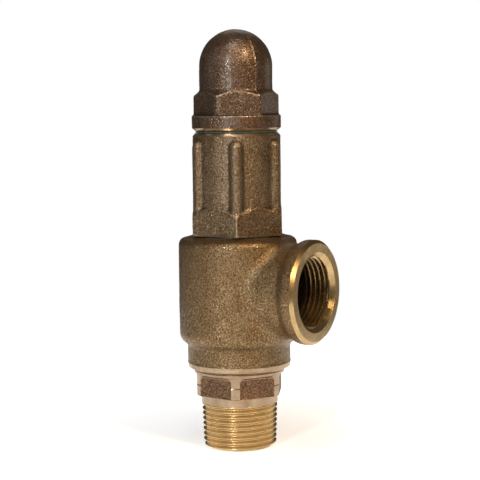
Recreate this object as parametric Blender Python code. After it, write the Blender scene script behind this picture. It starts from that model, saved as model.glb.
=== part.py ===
"""Pressure relief valve with a closed bonnet, male R 1 inlet and female Rc 1 side outlet.

Frame: the origin is the centre of the inlet's end face, +Z runs up the valve's axis and +X out of the side
outlet. Sizes are in millimetres and become metres as each mesh is made. Pieces that touch on the real valve are
GAP apart.
"""

from math import ceil, cos, pi, radians, sin, sqrt

import bmesh
import bpy
from mathutils import Matrix, Vector

MM = 0.001
TURN = 2 * pi
GAP = 0.3

# Pipe threads R 1 and Rc 1: 11 turns to the inch, 1 in 16 on the diameter.
PIPE_PITCH = 25.4 / 11
PIPE_DEPTH = 0.6403 * PIPE_PITCH
PIPE_RADIUS = 33.249 / 2
PIPE_GAUGE = 10.4
PIPE_TAPER = 1 / 32

# Seat nozzle, from the inlet's end face up.
PORT_RADIUS = 11.5
INLET_FACE_RADIUS = 14.0
INLET_CHAMFER = 1.0
INLET_THREAD_TOP = 20.2
INLET_THREAD_FOOT = 14.8
NOZZLE_NECK_RADIUS = 17.1
NOZZLE_HEX = 36.5
NOZZLE_HEX_TURNED = 20.05
NOZZLE_HEX_CORNER = radians(-4.3)
NOZZLE_HEX_BOTTOM = 24.6
NOZZLE_HEX_TOP = 32.3
NOZZLE_CONE_RADIUS = 19.3
NOZZLE_FLANGE_RADIUS = 20.3
NOZZLE_FLANGE_BOTTOM = 33.2
NOZZLE_FLANGE_TOP = 34.8
NOZZLE_SHANK_RADIUS = 17.0
NOZZLE_SHANK_TOP = 47.5
SEAT_RADIUS = 13.4
SEAT_HEIGHT = 52.0

# Flat gaskets. Each lies in a recess that is turned into the body.
GASKET_THICK = 1.2
NOZZLE_GASKET_RADIUS = 19.6
NOZZLE_RECESS_RADIUS = 20.0
BONNET_GASKET_RADIUS = 19.2
BONNET_RECESS_RADIUS = 19.5
BONNET_RECESS_DEPTH = 1.4
CAP_GASKET_RADIUS = 18.2

# Body.
BODY_BOTTOM = NOZZLE_FLANGE_TOP + GAP
BODY_BOTTOM_RADIUS = 20.4
BODY_RING_RADIUS = 22.9
BODY_RING_CHAMFER = 1.7
BODY_RING_TOP = 38.5
BODY_NECK_RADIUS = 23.1
BODY_NECK_TOP = 46.2
BODY_RADIUS = 26.5
BODY_BELLY_BOTTOM = 51.5
BODY_BELLY_ROUND = 5.0
BODY_SHOULDER = 91.0
BODY_SHOULDER_ROUND = 3.2
BODY_TOP = 95.0
BODY_TOP_RADIUS = 21.4
CAVITY_RADIUS = 22.5
CAVITY_FLOOR = 47.0
CAVITY_CEILING = 82.0
BODY_MOUTH_RADIUS = 17.5
BODY_MOUTH_BOTTOM = 86.8

# Side outlet, measured from the valve's axis.
OUTLET_HEIGHT = 71.2
OUTLET_FACE = 39.6
OUTLET_RING_RADIUS = 22.85
OUTLET_BOSS_RADIUS = 20.9
OUTLET_FLARE_START = 9.5
OUTLET_FLARE_END = 4.5
OUTLET_BEVEL = 1.4
OUTLET_MOUTH_RADIUS = 17.6
OUTLET_SINK = 1.8
OUTLET_THREAD_DEPTH = 14.0
OUTLET_BORE_RADIUS = 14.4
OUTLET_BORE_START = 14.0

# Bonnet.
BONNET_SHANK_RADIUS = BODY_MOUTH_RADIUS - GAP
BONNET_SHANK_BOTTOM = 87.5
BONNET_BOTTOM = BODY_TOP + GAP
BONNET_HEX = 39.3
BONNET_HEX_TOP = 107.6
BONNET_HEX_SLOPE = 0.85
BONNET_RADIUS = 19.5
BONNET_TOP = 140.2
BONNET_TOP_RADIUS = 18.35
BONNET_CHAMFER = 1.3
RIB_RADIUS = 3.0
RIB_CENTRE = 18.9
RIB_TOP = 137.2
BONNET_HEX_FOOT = 22.2
CHAMBER_RADIUS = 14.0
CHAMBER_BOTTOM = 92.0
CHAMBER_TOP = 138.0
GUIDE_POCKET_RADIUS = 15.0
CAP_THREAD_RADIUS = 14.6
CAP_THREAD_TOP = 148.0
SCREW_RADIUS = 6.0

# Cap.
CAP_BOTTOM = 141.4
CAP_BOTTOM_RADIUS = 18.4
CAP_RING_RADIUS = 19.75
CAP_RING_BOTTOM = 142.6
CAP_RING_TOP = 148.0
CAP_HEX = 33.5
CAP_HEX_TURNED = 18.9
CAP_HEX_CORNER = radians(-26.1)
CAP_NECK_HEIGHT = 158.8
CAP_HEX_SLOPE = 0.8
DOME_RADIUS = 16.2
DOME_CENTRE = 169.5
CAP_WALL = 3.4

# Stem guide.
GUIDE_BOTTOM = 84.0
GUIDE_TOP = 93.6
GUIDE_HUB_RADIUS = 6.5
VENT_RADIUS = 1.6
VENT_CENTRE = 10.6

# Moving pieces inside.
INSERT_BOTTOM = SEAT_HEIGHT + GAP
INSERT_THICK = 2.1
HOLDER_RADIUS = 15.2
HOLDER_HUB_RADIUS = 8.0
HOLDER_TOP = 74.0
STEM_RADIUS = 3.5
STEM_BOTTOM = 68.9
STEM_TOP = 142.0
STEM_HOLE_RADIUS = 3.9
BALL_RADIUS = 3.0
LOWER_SEAT_BOTTOM = 96.0
LOWER_SEAT_TOP = 99.5
UPPER_SEAT_BOTTOM = 129.5
UPPER_SEAT_TOP = 133.5
SPRING_SEAT_RADIUS = 13.2
SPRING_PILOT_RADIUS = 9.2
SPRING_PILOT_HEIGHT = 3.0
SPRING_RADIUS = 11.2
SPRING_WIRE_RADIUS = 1.6
SPRING_TURNS = 5
SPRING_END_TURNS = 0.75
NUT_WIDTH = 19.0
NUT_FACE_RADIUS = 9.3
NUT_CHAMFER_SLOPE = 0.58
NUT_HEIGHT = 8.0
WASHER_THICK = 1.2
WASHER_RADIUS = 10.5
SCREW_HOLE_TOP = 150.0
SCREW_SHANK_TOP = 163.0
SCREW_HEAD_TOP = 169.0
SCREW_SQUARE = 7.0

COLUMNS = 36

CAST_BRONZE = ((0.42, 0.31, 0.17), 0.55, 0.9)
NOZZLE_BRASS = ((0.66, 0.47, 0.21), 0.35, 1.0)
CAP_BRONZE = ((0.34, 0.20, 0.11), 0.5, 0.9)
BONNET_BRONZE = ((0.38, 0.30, 0.19), 0.55, 0.9)
TURNED_BRASS = ((0.72, 0.54, 0.27), 0.3, 1.0)
STEEL = ((0.55, 0.55, 0.56), 0.3, 1.0)
SPRING_STEEL = ((0.33, 0.34, 0.36), 0.35, 1.0)
ZINC_STEEL = ((0.62, 0.62, 0.6), 0.4, 1.0)
FIBRE = ((0.10, 0.22, 0.22), 0.85, 0.0)
SOFT_SEAT = ((0.85, 0.84, 0.8), 0.5, 0.0)

FINISHES = {
    "body": CAST_BRONZE,
    "seat_nozzle": NOZZLE_BRASS,
    "nozzle_gasket": FIBRE,
    "bonnet": BONNET_BRONZE,
    "bonnet_gasket": FIBRE,
    "stem_guide": TURNED_BRASS,
    "spring": SPRING_STEEL,
    "disc_holder": TURNED_BRASS,
    "disc_insert": SOFT_SEAT,
    "disc_retainer": STEEL,
    "retainer_screw": STEEL,
    "pivot_ball": STEEL,
    "stem": STEEL,
    "stem_retaining_ring": SPRING_STEEL,
    "lower_spring_seat": ZINC_STEEL,
    "spring_seat_circlip": SPRING_STEEL,
    "upper_spring_seat": ZINC_STEEL,
    "adjusting_screw": TURNED_BRASS,
    "lock_washer": ZINC_STEEL,
    "lock_nut": TURNED_BRASS,
    "cap_gasket": FIBRE,
    "cap": CAP_BRONZE,
}


# Shapes


def even_angles(first=0.0, count=COLUMNS):
    return [first + TURN * i / count for i in range(count)]


def revolve(outline_at, angles=None):
    """Mesh swept round Z. outline_at(angle) lists the outline's (radius, height) points there.

    An outline that starts and ends on the axis gives a solid, and any other is closed into a ring.
    """
    angles = angles or even_angles()
    mesh = bmesh.new()
    columns = []
    for angle in angles + [angles[0] + TURN]:
        outline = outline_at(angle)
        solid = outline[0][0] == 0 and outline[-1][0] == 0
        columns.append([mesh.verts.new((r * cos(angle) * MM, r * sin(angle) * MM, z * MM)) for r, z in outline])
    for left, right in zip(columns, columns[1:]):
        rows = list(zip(left, right))
        if not solid:
            rows.append(rows[0])
        for (a, b), (c, d) in zip(rows, rows[1:]):
            mesh.faces.new((a, b, d, c))
    bmesh.ops.remove_doubles(mesh, verts=mesh.verts, dist=1e-6)
    bmesh.ops.recalc_face_normals(mesh, faces=mesh.faces)
    return mesh


def turned(outline, count=COLUMNS):
    return revolve(lambda angle: outline, even_angles(count=count))


def tube(inner, outer, bottom, top, count=COLUMNS):
    return turned([(inner, bottom), (outer, bottom), (outer, top), (inner, top)], count)


def arc(centre_r, centre_z, radius, first, last, steps):
    """Points of a round stretch of an outline, from one angle to another, in degrees above level."""
    angles = [radians(first + (last - first) * i / steps) for i in range(steps + 1)]
    return [(centre_r + radius * cos(a), centre_z + radius * sin(a)) for a in angles]


def side_radius(angle, across_flats, corner=0.0, sides=6):
    """Distance from the axis to a regular polygon's side, which has a corner in the given direction."""
    half_sector = pi / sides
    return across_flats / 2 / cos((angle - corner) % (2 * half_sector) - half_sector)


def thread_rows(turn, start, end, crest_at, start_radius, end_radius):
    """Outline of a right-hand pipe thread between two heights, a fraction of a turn round from its start.

    Each turn has a flat root and a flat crest, a sixth of the pitch wide, with sloping flanks between them.
    """
    rows = [(start_radius, start)]
    for k in range(-1, ceil((end - start) / PIPE_PITCH) + 1):
        for place, drop in ((0, PIPE_DEPTH), (1 / 6, PIPE_DEPTH), (1 / 2, 0), (2 / 3, 0)):
            z = start + (k + turn + place) * PIPE_PITCH
            if z <= start:
                rows.append((start_radius, start))
            elif z >= end:
                rows.append((end_radius, end))
            else:
                rows.append((crest_at(z) - drop, z))
    rows.append((end_radius, end))
    return rows


# Objects


def finish(name):
    colour, roughness, metallic = FINISHES[name]
    material = bpy.data.materials.new(name)
    material.use_nodes = True
    shader = material.node_tree.nodes["Principled BSDF"]
    shader.inputs["Base Color"].default_value = (*colour, 1.0)
    shader.inputs["Roughness"].default_value = roughness
    shader.inputs["Metallic"].default_value = metallic
    return material


def new_object(name, mesh):
    data = bpy.data.meshes.new(name)
    mesh.to_mesh(data)
    mesh.free()
    obj = bpy.data.objects.new(name, data)
    bpy.context.collection.objects.link(obj)
    return obj


def add_piece(name, mesh):
    """One named sub-part, shaded smooth with sharp edges kept."""
    obj = new_object(name, mesh)
    obj.data.materials.append(finish(name))
    obj.data.shade_smooth()
    obj.data.set_sharp_from_angle(angle=radians(30))
    return obj


def combine(obj, mesh, operation, matrix=Matrix()):
    """Joins a guide shape to an object, or cuts it away, with a live Boolean."""
    guide = new_object(f"{obj.name}_{operation.lower()}_{len(obj.modifiers)}", mesh)
    guide.matrix_world = matrix
    guide.hide_render = True
    guide.display_type = "WIRE"
    modifier = obj.modifiers.new(guide.name, "BOOLEAN")
    modifier.operation = operation
    modifier.object = guide


# Fixed pieces


def pipe_crest(z):
    """Radius of the male pipe thread's crests at a height above the inlet's end face."""
    return PIPE_RADIUS + (z - PIPE_GAUGE) * PIPE_TAPER


def nozzle_outline(angle):
    turn = (angle - NOZZLE_HEX_CORNER) / TURN
    side = side_radius(angle, NOZZLE_HEX, NOZZLE_HEX_CORNER)
    hex_edge = min(side, NOZZLE_HEX_TURNED)
    return (
        [(PORT_RADIUS, 0.5), (PORT_RADIUS + 0.5, 0), (INLET_FACE_RADIUS, 0)]
        + thread_rows(turn, INLET_CHAMFER, INLET_THREAD_TOP, pipe_crest, INLET_THREAD_FOOT, NOZZLE_NECK_RADIUS)
        + [
            (NOZZLE_NECK_RADIUS, NOZZLE_HEX_BOTTOM),
            (hex_edge - 0.6, NOZZLE_HEX_BOTTOM),
            (hex_edge, NOZZLE_HEX_BOTTOM + 0.6),
            (hex_edge, NOZZLE_HEX_TOP - 0.6),
            (NOZZLE_CONE_RADIUS, NOZZLE_HEX_TOP),
            (NOZZLE_FLANGE_RADIUS, NOZZLE_FLANGE_BOTTOM),
            (NOZZLE_FLANGE_RADIUS, NOZZLE_FLANGE_TOP),
            (NOZZLE_SHANK_RADIUS, NOZZLE_FLANGE_TOP),
            (NOZZLE_SHANK_RADIUS, NOZZLE_SHANK_TOP),
            (SEAT_RADIUS, NOZZLE_SHANK_TOP + 1.5),
            (SEAT_RADIUS, SEAT_HEIGHT - 0.5),
            (SEAT_RADIUS - 0.5, SEAT_HEIGHT),
            (PORT_RADIUS, SEAT_HEIGHT),
        ]
    )


def make_nozzle():
    add_piece("seat_nozzle", revolve(nozzle_outline, even_angles(NOZZLE_HEX_CORNER)))
    gasket_hole = NOZZLE_SHANK_RADIUS + GAP + 0.2
    add_piece("nozzle_gasket", tube(gasket_hole, NOZZLE_GASKET_RADIUS, BODY_BOTTOM, BODY_BOTTOM + GASKET_THICK))


def outlet_crest(x):
    """Radius of the socket's deepest thread line at a distance from the valve's axis."""
    return PIPE_RADIUS - (OUTLET_FACE - x) * PIPE_TAPER


def outlet_outline(angle):
    start = OUTLET_FACE - OUTLET_THREAD_DEPTH
    mouth = OUTLET_FACE - OUTLET_SINK
    mouth_radius = outlet_crest(mouth) - PIPE_DEPTH / 2
    return (
        [(0, OUTLET_BORE_START), (OUTLET_BORE_RADIUS, OUTLET_BORE_START)]
        + thread_rows(angle / TURN, start, mouth, outlet_crest, OUTLET_BORE_RADIUS, mouth_radius)
        + [(OUTLET_MOUTH_RADIUS, OUTLET_FACE), (OUTLET_MOUTH_RADIUS, OUTLET_FACE + 5), (0, OUTLET_FACE + 5)]
    )


def make_body():
    belly = BODY_RADIUS - BODY_BELLY_ROUND
    outer = (
        [(0, BODY_BOTTOM), (BODY_BOTTOM_RADIUS, BODY_BOTTOM)]
        + [(BODY_RING_RADIUS, BODY_BOTTOM + BODY_RING_CHAMFER), (BODY_RING_RADIUS, BODY_RING_TOP)]
        + [(BODY_NECK_RADIUS, BODY_RING_TOP), (BODY_NECK_RADIUS, BODY_NECK_TOP)]
        + arc(belly, BODY_BELLY_BOTTOM, BODY_BELLY_ROUND, -62, 0, 4)
        + arc(BODY_RADIUS - BODY_SHOULDER_ROUND, BODY_SHOULDER, BODY_SHOULDER_ROUND, 0, 80, 5)
        + [(BODY_TOP_RADIUS, BODY_TOP - 0.6), (BODY_TOP_RADIUS - 0.3, BODY_TOP), (0, BODY_TOP)]
    )
    boss = [
        (0, 8.0),
        (OUTLET_BOSS_RADIUS, 8.0),
        (OUTLET_BOSS_RADIUS, OUTLET_FACE - OUTLET_FLARE_START),
        (OUTLET_RING_RADIUS, OUTLET_FACE - OUTLET_FLARE_END),
        (OUTLET_RING_RADIUS, OUTLET_FACE - OUTLET_BEVEL),
        (OUTLET_RING_RADIUS - OUTLET_BEVEL, OUTLET_FACE),
        (0, OUTLET_FACE),
    ]
    gasket_recess = BODY_BOTTOM + GASKET_THICK + GAP
    bonnet_recess = BODY_TOP - BONNET_RECESS_DEPTH
    cavity = [
        (0, BODY_BOTTOM - 5),
        (NOZZLE_RECESS_RADIUS, BODY_BOTTOM - 5),
        (NOZZLE_RECESS_RADIUS, gasket_recess),
        (NOZZLE_SHANK_RADIUS + GAP, gasket_recess),
        (NOZZLE_SHANK_RADIUS + GAP, CAVITY_FLOOR),
        (CAVITY_RADIUS - 3.0, CAVITY_FLOOR),
        (CAVITY_RADIUS, CAVITY_FLOOR + 4.0),
        (CAVITY_RADIUS, CAVITY_CEILING),
        (BODY_MOUTH_RADIUS, BODY_MOUTH_BOTTOM),
        (BODY_MOUTH_RADIUS, bonnet_recess),
        (BONNET_RECESS_RADIUS, bonnet_recess),
        (BONNET_RECESS_RADIUS, BODY_TOP + 5),
        (0, BODY_TOP + 5),
    ]
    to_outlet = Matrix.Translation((0, 0, OUTLET_HEIGHT * MM)) @ Matrix.Rotation(pi / 2, 4, "Y")
    body = add_piece("body", turned(outer))
    combine(body, turned(boss), "UNION", to_outlet)
    combine(body, turned(cavity), "DIFFERENCE")
    combine(body, revolve(outlet_outline), "DIFFERENCE", to_outlet)


def rib_angles():
    """Columns round the bonnet, close together across its six ribs."""
    steps = (-19, -9.5, -8, -6, -3, 0, 3, 6, 8, 9.5, 19, 30)
    return [radians(60 * corner + step) for corner in range(6) for step in steps]


def rib_surface(angle, height):
    """Radius of the bonnet's wall: a cylinder with a round-topped rib in line with each hexagon corner."""
    above = max(0.0, height - (RIB_TOP - RIB_RADIUS))
    offset = (angle + pi / 6) % (pi / 3) - pi / 6
    inside = RIB_RADIUS**2 - above**2 - (RIB_CENTRE * sin(offset)) ** 2
    if inside <= 0:
        return BONNET_RADIUS
    return max(BONNET_RADIUS, RIB_CENTRE * cos(offset) + sqrt(inside))


def bonnet_outline(angle):
    hex_side = side_radius(angle, BONNET_HEX)
    hex_top = BONNET_HEX_TOP - BONNET_HEX_SLOPE * (hex_side - BONNET_RADIUS)
    wall = rib_surface(angle, BONNET_HEX_TOP)
    rib_heights = [RIB_TOP - RIB_RADIUS * (1 - k) for k in (0, 0.4, 0.7, 0.9, 1)]
    return (
        [(GUIDE_POCKET_RADIUS, BONNET_SHANK_BOTTOM), (BONNET_SHANK_RADIUS, BONNET_SHANK_BOTTOM)]
        + [(BONNET_SHANK_RADIUS, BONNET_BOTTOM), (min(hex_side, BONNET_HEX_FOOT), BONNET_BOTTOM)]
        + [(hex_side, BONNET_BOTTOM + 0.5), (hex_side, hex_top)]
        + [(wall, BONNET_HEX_TOP - BONNET_HEX_SLOPE * (wall - BONNET_RADIUS))]
        + [(rib_surface(angle, z), z) for z in rib_heights]
        + [
            (BONNET_RADIUS, BONNET_TOP - BONNET_CHAMFER),
            (BONNET_TOP_RADIUS, BONNET_TOP),
            (CAP_THREAD_RADIUS, BONNET_TOP),
            (CAP_THREAD_RADIUS, CAP_THREAD_TOP - 0.7),
            (CAP_THREAD_RADIUS - 0.7, CAP_THREAD_TOP),
            (SCREW_RADIUS + GAP, CAP_THREAD_TOP),
            (SCREW_RADIUS + GAP, CHAMBER_TOP),
            (CHAMBER_RADIUS, CHAMBER_TOP),
            (CHAMBER_RADIUS, CHAMBER_BOTTOM),
            (GUIDE_POCKET_RADIUS, CHAMBER_BOTTOM),
        ]
    )


def make_bonnet():
    add_piece("bonnet", revolve(bonnet_outline, rib_angles()))
    gasket_bottom = BODY_TOP - BONNET_RECESS_DEPTH + GAP
    add_piece("bonnet_gasket", tube(BODY_MOUTH_RADIUS + 0.2, BONNET_GASKET_RADIUS, gasket_bottom, BODY_TOP))


def make_stem_guide():
    plate_bottom = BONNET_SHANK_BOTTOM + 0.5
    plate_top = CHAMBER_BOTTOM - GAP
    plate_radius = GUIDE_POCKET_RADIUS - GAP
    outline = [
        (STEM_HOLE_RADIUS, GUIDE_BOTTOM),
        (GUIDE_HUB_RADIUS, GUIDE_BOTTOM),
        (GUIDE_HUB_RADIUS + 0.5, plate_bottom),
        (plate_radius, plate_bottom),
        (plate_radius, plate_top),
        (GUIDE_HUB_RADIUS, plate_top),
        (GUIDE_HUB_RADIUS - 0.5, GUIDE_TOP),
        (STEM_HOLE_RADIUS, GUIDE_TOP),
    ]
    guide = add_piece("stem_guide", turned(outline))
    for k in range(4):
        vent = turned([(0, 80), (VENT_RADIUS, 80), (VENT_RADIUS, 100), (0, 100)], 12)
        centre = Vector((VENT_CENTRE * MM, 0, 0))
        centre.rotate(Matrix.Rotation(TURN * (k + 0.5) / 4, 3, "Z"))
        combine(guide, vent, "DIFFERENCE", Matrix.Translation(centre))


def make_spring():
    """Round wire along a helix whose end coils lie nearly flat on the two spring seats."""
    first = LOWER_SEAT_TOP + GAP + SPRING_WIRE_RADIUS
    last = UPPER_SEAT_BOTTOM - GAP - SPRING_WIRE_RADIUS
    end_rise = SPRING_END_TURNS * (2 * SPRING_WIRE_RADIUS + GAP)
    pitch = (last - first - 2 * end_rise) / (SPRING_TURNS - 2 * SPRING_END_TURNS)
    count = 14 * SPRING_TURNS
    curve = bpy.data.curves.new("spring", "CURVE")
    curve.dimensions = "3D"
    curve.bevel_depth = SPRING_WIRE_RADIUS * MM
    curve.bevel_resolution = 2
    curve.render_resolution_u = 0
    curve.use_fill_caps = True
    path = curve.splines.new("POLY")
    path.points.add(count)
    for i, point in enumerate(path.points):
        turn = SPRING_TURNS * i / count
        middle = min(max(turn, SPRING_END_TURNS), SPRING_TURNS - SPRING_END_TURNS) - SPRING_END_TURNS
        ends = (turn - middle) / SPRING_END_TURNS * end_rise
        z = first + middle * pitch + ends
        angle = turn * TURN
        point.co = (SPRING_RADIUS * cos(angle) * MM, SPRING_RADIUS * sin(angle) * MM, z * MM, 1)
    curve.materials.append(finish("spring"))
    bpy.context.collection.objects.link(bpy.data.objects.new("spring", curve))


# Valve disc and stem, which lift together


def make_disc():
    recess_top = INSERT_BOTTOM + INSERT_THICK + GAP
    recess_radius = HOLDER_RADIUS - 1.1
    socket_bottom = STEM_BOTTOM - 2 * BALL_RADIUS - 2 * GAP
    ring_groove = 71.1
    holder = [
        (0, socket_bottom),
        (STEM_HOLE_RADIUS + 0.4, socket_bottom),
        (STEM_HOLE_RADIUS + 0.4, ring_groove),
        (5.3, ring_groove),
        (5.3, ring_groove + 1.6),
        (STEM_HOLE_RADIUS + 0.4, ring_groove + 1.6),
        (STEM_HOLE_RADIUS + 0.4, HOLDER_TOP),
        (HOLDER_HUB_RADIUS - 0.8, HOLDER_TOP),
        (HOLDER_HUB_RADIUS, HOLDER_TOP - 0.8),
        (HOLDER_HUB_RADIUS, 62.0),
        (HOLDER_RADIUS, 58.5),
        (HOLDER_RADIUS, INSERT_BOTTOM + 0.6),
        (recess_radius, INSERT_BOTTOM + 0.6),
        (recess_radius, recess_top),
        (2.2, recess_top),
        (2.2, recess_top + 2.8),
        (0, recess_top + 2.8),
    ]
    add_piece("disc_holder", turned(holder))
    add_piece("disc_insert", tube(2.3, recess_radius - GAP, INSERT_BOTTOM, INSERT_BOTTOM + INSERT_THICK))
    plate_top = INSERT_BOTTOM - GAP
    plate_bottom = plate_top - 1.7
    plate = [
        (2.3, plate_bottom),
        (8.4, plate_bottom),
        (9.0, plate_bottom + 0.6),
        (9.0, plate_top),
        (2.3, plate_top),
    ]
    add_piece("disc_retainer", turned(plate))
    head_top = plate_bottom - GAP

    def screw_outline(angle):
        socket = side_radius(angle, 2.5)
        return [
            (0, head_top - 0.7),
            (socket, head_top - 0.7),
            (socket, head_top - 1.6),
            (2.9, head_top - 1.6),
            (3.4, head_top - 1.1),
            (3.4, head_top),
            (1.9, head_top),
            (1.9, recess_top + 1.8),
            (1.4, recess_top + 2.3),
            (0, recess_top + 2.3),
        ]

    add_piece("retainer_screw", revolve(screw_outline, even_angles(count=24)))
    ball = arc(0, STEM_BOTTOM - GAP - BALL_RADIUS, BALL_RADIUS, -90, 90, 12)
    ball[0] = (0, ball[0][1])
    ball[-1] = (0, ball[-1][1])
    add_piece("pivot_ball", turned(ball, 24))
    add_piece("stem_retaining_ring", tube(STEM_RADIUS + 0.4, 5.0, ring_groove + GAP, ring_groove + 1.3, 24))


def make_stem():
    clip_groove = LOWER_SEAT_BOTTOM - 1.7
    stem = [
        (0, STEM_BOTTOM),
        (STEM_RADIUS, STEM_BOTTOM),
        (4.0, STEM_BOTTOM + 0.5),
        (4.0, STEM_BOTTOM + 1.9),
        (STEM_RADIUS, STEM_BOTTOM + 1.9),
        (STEM_RADIUS, clip_groove),
        (2.8, clip_groove),
        (2.8, LOWER_SEAT_BOTTOM),
        (STEM_RADIUS, LOWER_SEAT_BOTTOM),
        (STEM_RADIUS, STEM_TOP - 0.8),
        (STEM_RADIUS - 0.8, STEM_TOP),
        (0, STEM_TOP),
    ]
    add_piece("stem", turned(stem, 32))
    add_piece("spring_seat_circlip", tube(2.8 + GAP, 5.2, clip_groove + GAP, LOWER_SEAT_BOTTOM - GAP, 32))
    lower_seat = [
        (STEM_HOLE_RADIUS, LOWER_SEAT_BOTTOM),
        (7.0, LOWER_SEAT_BOTTOM),
        (SPRING_SEAT_RADIUS, LOWER_SEAT_BOTTOM + 1.0),
        (SPRING_SEAT_RADIUS, LOWER_SEAT_TOP),
        (SPRING_PILOT_RADIUS, LOWER_SEAT_TOP),
        (SPRING_PILOT_RADIUS - 0.8, LOWER_SEAT_TOP + SPRING_PILOT_HEIGHT),
        (STEM_HOLE_RADIUS, LOWER_SEAT_TOP + SPRING_PILOT_HEIGHT),
    ]
    add_piece("lower_spring_seat", turned(lower_seat))


# Set-pressure adjustment and cap


def make_adjuster():
    upper_seat = [
        (STEM_HOLE_RADIUS, UPPER_SEAT_BOTTOM - SPRING_PILOT_HEIGHT),
        (SPRING_PILOT_RADIUS - 0.8, UPPER_SEAT_BOTTOM - SPRING_PILOT_HEIGHT),
        (SPRING_PILOT_RADIUS, UPPER_SEAT_BOTTOM),
        (SPRING_SEAT_RADIUS, UPPER_SEAT_BOTTOM),
        (SPRING_SEAT_RADIUS, UPPER_SEAT_TOP - 1.5),
        (7.0, UPPER_SEAT_TOP),
        (STEM_HOLE_RADIUS, UPPER_SEAT_TOP),
    ]
    add_piece("upper_spring_seat", turned(upper_seat))
    screw_bottom = UPPER_SEAT_TOP + GAP

    def screw_outline(angle):
        square = side_radius(angle, SCREW_SQUARE, sides=4)
        return [
            (0, SCREW_HOLE_TOP),
            (STEM_HOLE_RADIUS, SCREW_HOLE_TOP - 1.0),
            (STEM_HOLE_RADIUS, screw_bottom),
            (SCREW_RADIUS - 0.8, screw_bottom),
            (SCREW_RADIUS, screw_bottom + 0.8),
            (SCREW_RADIUS, SCREW_SHANK_TOP - 0.8),
            (SCREW_RADIUS - 0.8, SCREW_SHANK_TOP),
            (square, SCREW_SHANK_TOP),
            (square, SCREW_HEAD_TOP - 0.5),
            (square - 0.5, SCREW_HEAD_TOP),
            (0, SCREW_HEAD_TOP),
        ]

    add_piece("adjusting_screw", revolve(screw_outline))
    washer_bottom = CAP_THREAD_TOP + GAP
    washer_top = washer_bottom + WASHER_THICK
    add_piece("lock_washer", tube(SCREW_RADIUS + GAP, WASHER_RADIUS, washer_bottom, washer_top))
    nut_bottom = washer_top + GAP
    nut_top = nut_bottom + NUT_HEIGHT
    hole = SCREW_RADIUS + GAP

    def nut_outline(angle):
        side = side_radius(angle, NUT_WIDTH)
        drop = (side - NUT_FACE_RADIUS) * NUT_CHAMFER_SLOPE
        return [
            (hole, nut_bottom + 0.5),
            (hole + 0.5, nut_bottom),
            (NUT_FACE_RADIUS, nut_bottom),
            (side, nut_bottom + drop),
            (side, nut_top - drop),
            (NUT_FACE_RADIUS, nut_top),
            (hole + 0.5, nut_top),
            (hole, nut_top - 0.5),
        ]

    add_piece("lock_nut", revolve(nut_outline))


def cap_outline(angle):
    side = min(side_radius(angle, CAP_HEX, CAP_HEX_CORNER), CAP_HEX_TURNED)
    bore = CAP_THREAD_RADIUS + GAP
    inner_radius = DOME_RADIUS - CAP_WALL
    dome = arc(0, DOME_CENTRE, DOME_RADIUS, 0, 90, 10)
    dome[-1] = (0, DOME_CENTRE + DOME_RADIUS)
    inner_dome = arc(0, DOME_CENTRE, inner_radius, 90, 0, 8)
    inner_dome[0] = (0, DOME_CENTRE + inner_radius)
    return (
        inner_dome
        + [
            (inner_radius, CAP_THREAD_TOP + 2.5),
            (bore, CAP_THREAD_TOP + 0.4),
            (bore, CAP_BOTTOM + 0.5),
            (bore + 0.5, CAP_BOTTOM),
            (CAP_BOTTOM_RADIUS, CAP_BOTTOM),
            (CAP_RING_RADIUS, CAP_RING_BOTTOM),
            (CAP_RING_RADIUS, CAP_RING_TOP - 0.4),
            (CAP_RING_RADIUS - 0.4, CAP_RING_TOP),
            (side, CAP_RING_TOP),
            (side, CAP_NECK_HEIGHT - CAP_HEX_SLOPE * (side - DOME_RADIUS)),
            (DOME_RADIUS, CAP_NECK_HEIGHT),
        ]
        + dome
    )


def make_cap():
    gasket_hole = CAP_THREAD_RADIUS + GAP + 0.1
    add_piece("cap_gasket", tube(gasket_hole, CAP_GASKET_RADIUS, BONNET_TOP + GAP, CAP_BOTTOM - GAP))
    add_piece("cap", revolve(cap_outline, even_angles(CAP_HEX_CORNER)))


for old in list(bpy.data.objects):
    bpy.data.objects.remove(old, do_unlink=True)

make_body()
make_nozzle()
make_bonnet()
make_stem_guide()
make_spring()
make_disc()
make_stem()
make_adjuster()
make_cap()
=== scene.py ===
"""Looks of the pressure relief valve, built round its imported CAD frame.

Shapes are worked out in millimetres in the frame's own axes and become metres as each mesh is made. A cast
piece starts as a closed skin that is remeshed and smoothed, as sand moulds round every edge, and is then cut
by the shapes that the lathe would cut, so that machined faces stay crisp.
"""

from functools import cache
from math import atan2, ceil, cos, exp, hypot, pi, radians, sin, sqrt, tan

import bmesh
import bpy
import numpy as np
from mathutils import Matrix, Vector, noise


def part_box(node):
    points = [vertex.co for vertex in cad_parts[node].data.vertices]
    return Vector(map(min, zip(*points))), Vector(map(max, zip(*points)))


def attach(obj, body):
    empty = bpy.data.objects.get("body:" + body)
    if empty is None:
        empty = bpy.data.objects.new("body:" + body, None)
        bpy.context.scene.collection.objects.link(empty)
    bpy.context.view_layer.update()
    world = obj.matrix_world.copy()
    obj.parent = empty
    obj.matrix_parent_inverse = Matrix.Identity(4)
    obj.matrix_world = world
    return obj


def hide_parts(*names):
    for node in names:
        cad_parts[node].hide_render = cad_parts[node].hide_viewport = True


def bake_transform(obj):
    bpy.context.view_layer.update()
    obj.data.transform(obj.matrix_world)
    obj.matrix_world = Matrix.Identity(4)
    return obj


MM = 0.001
TURN = 2 * pi

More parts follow.
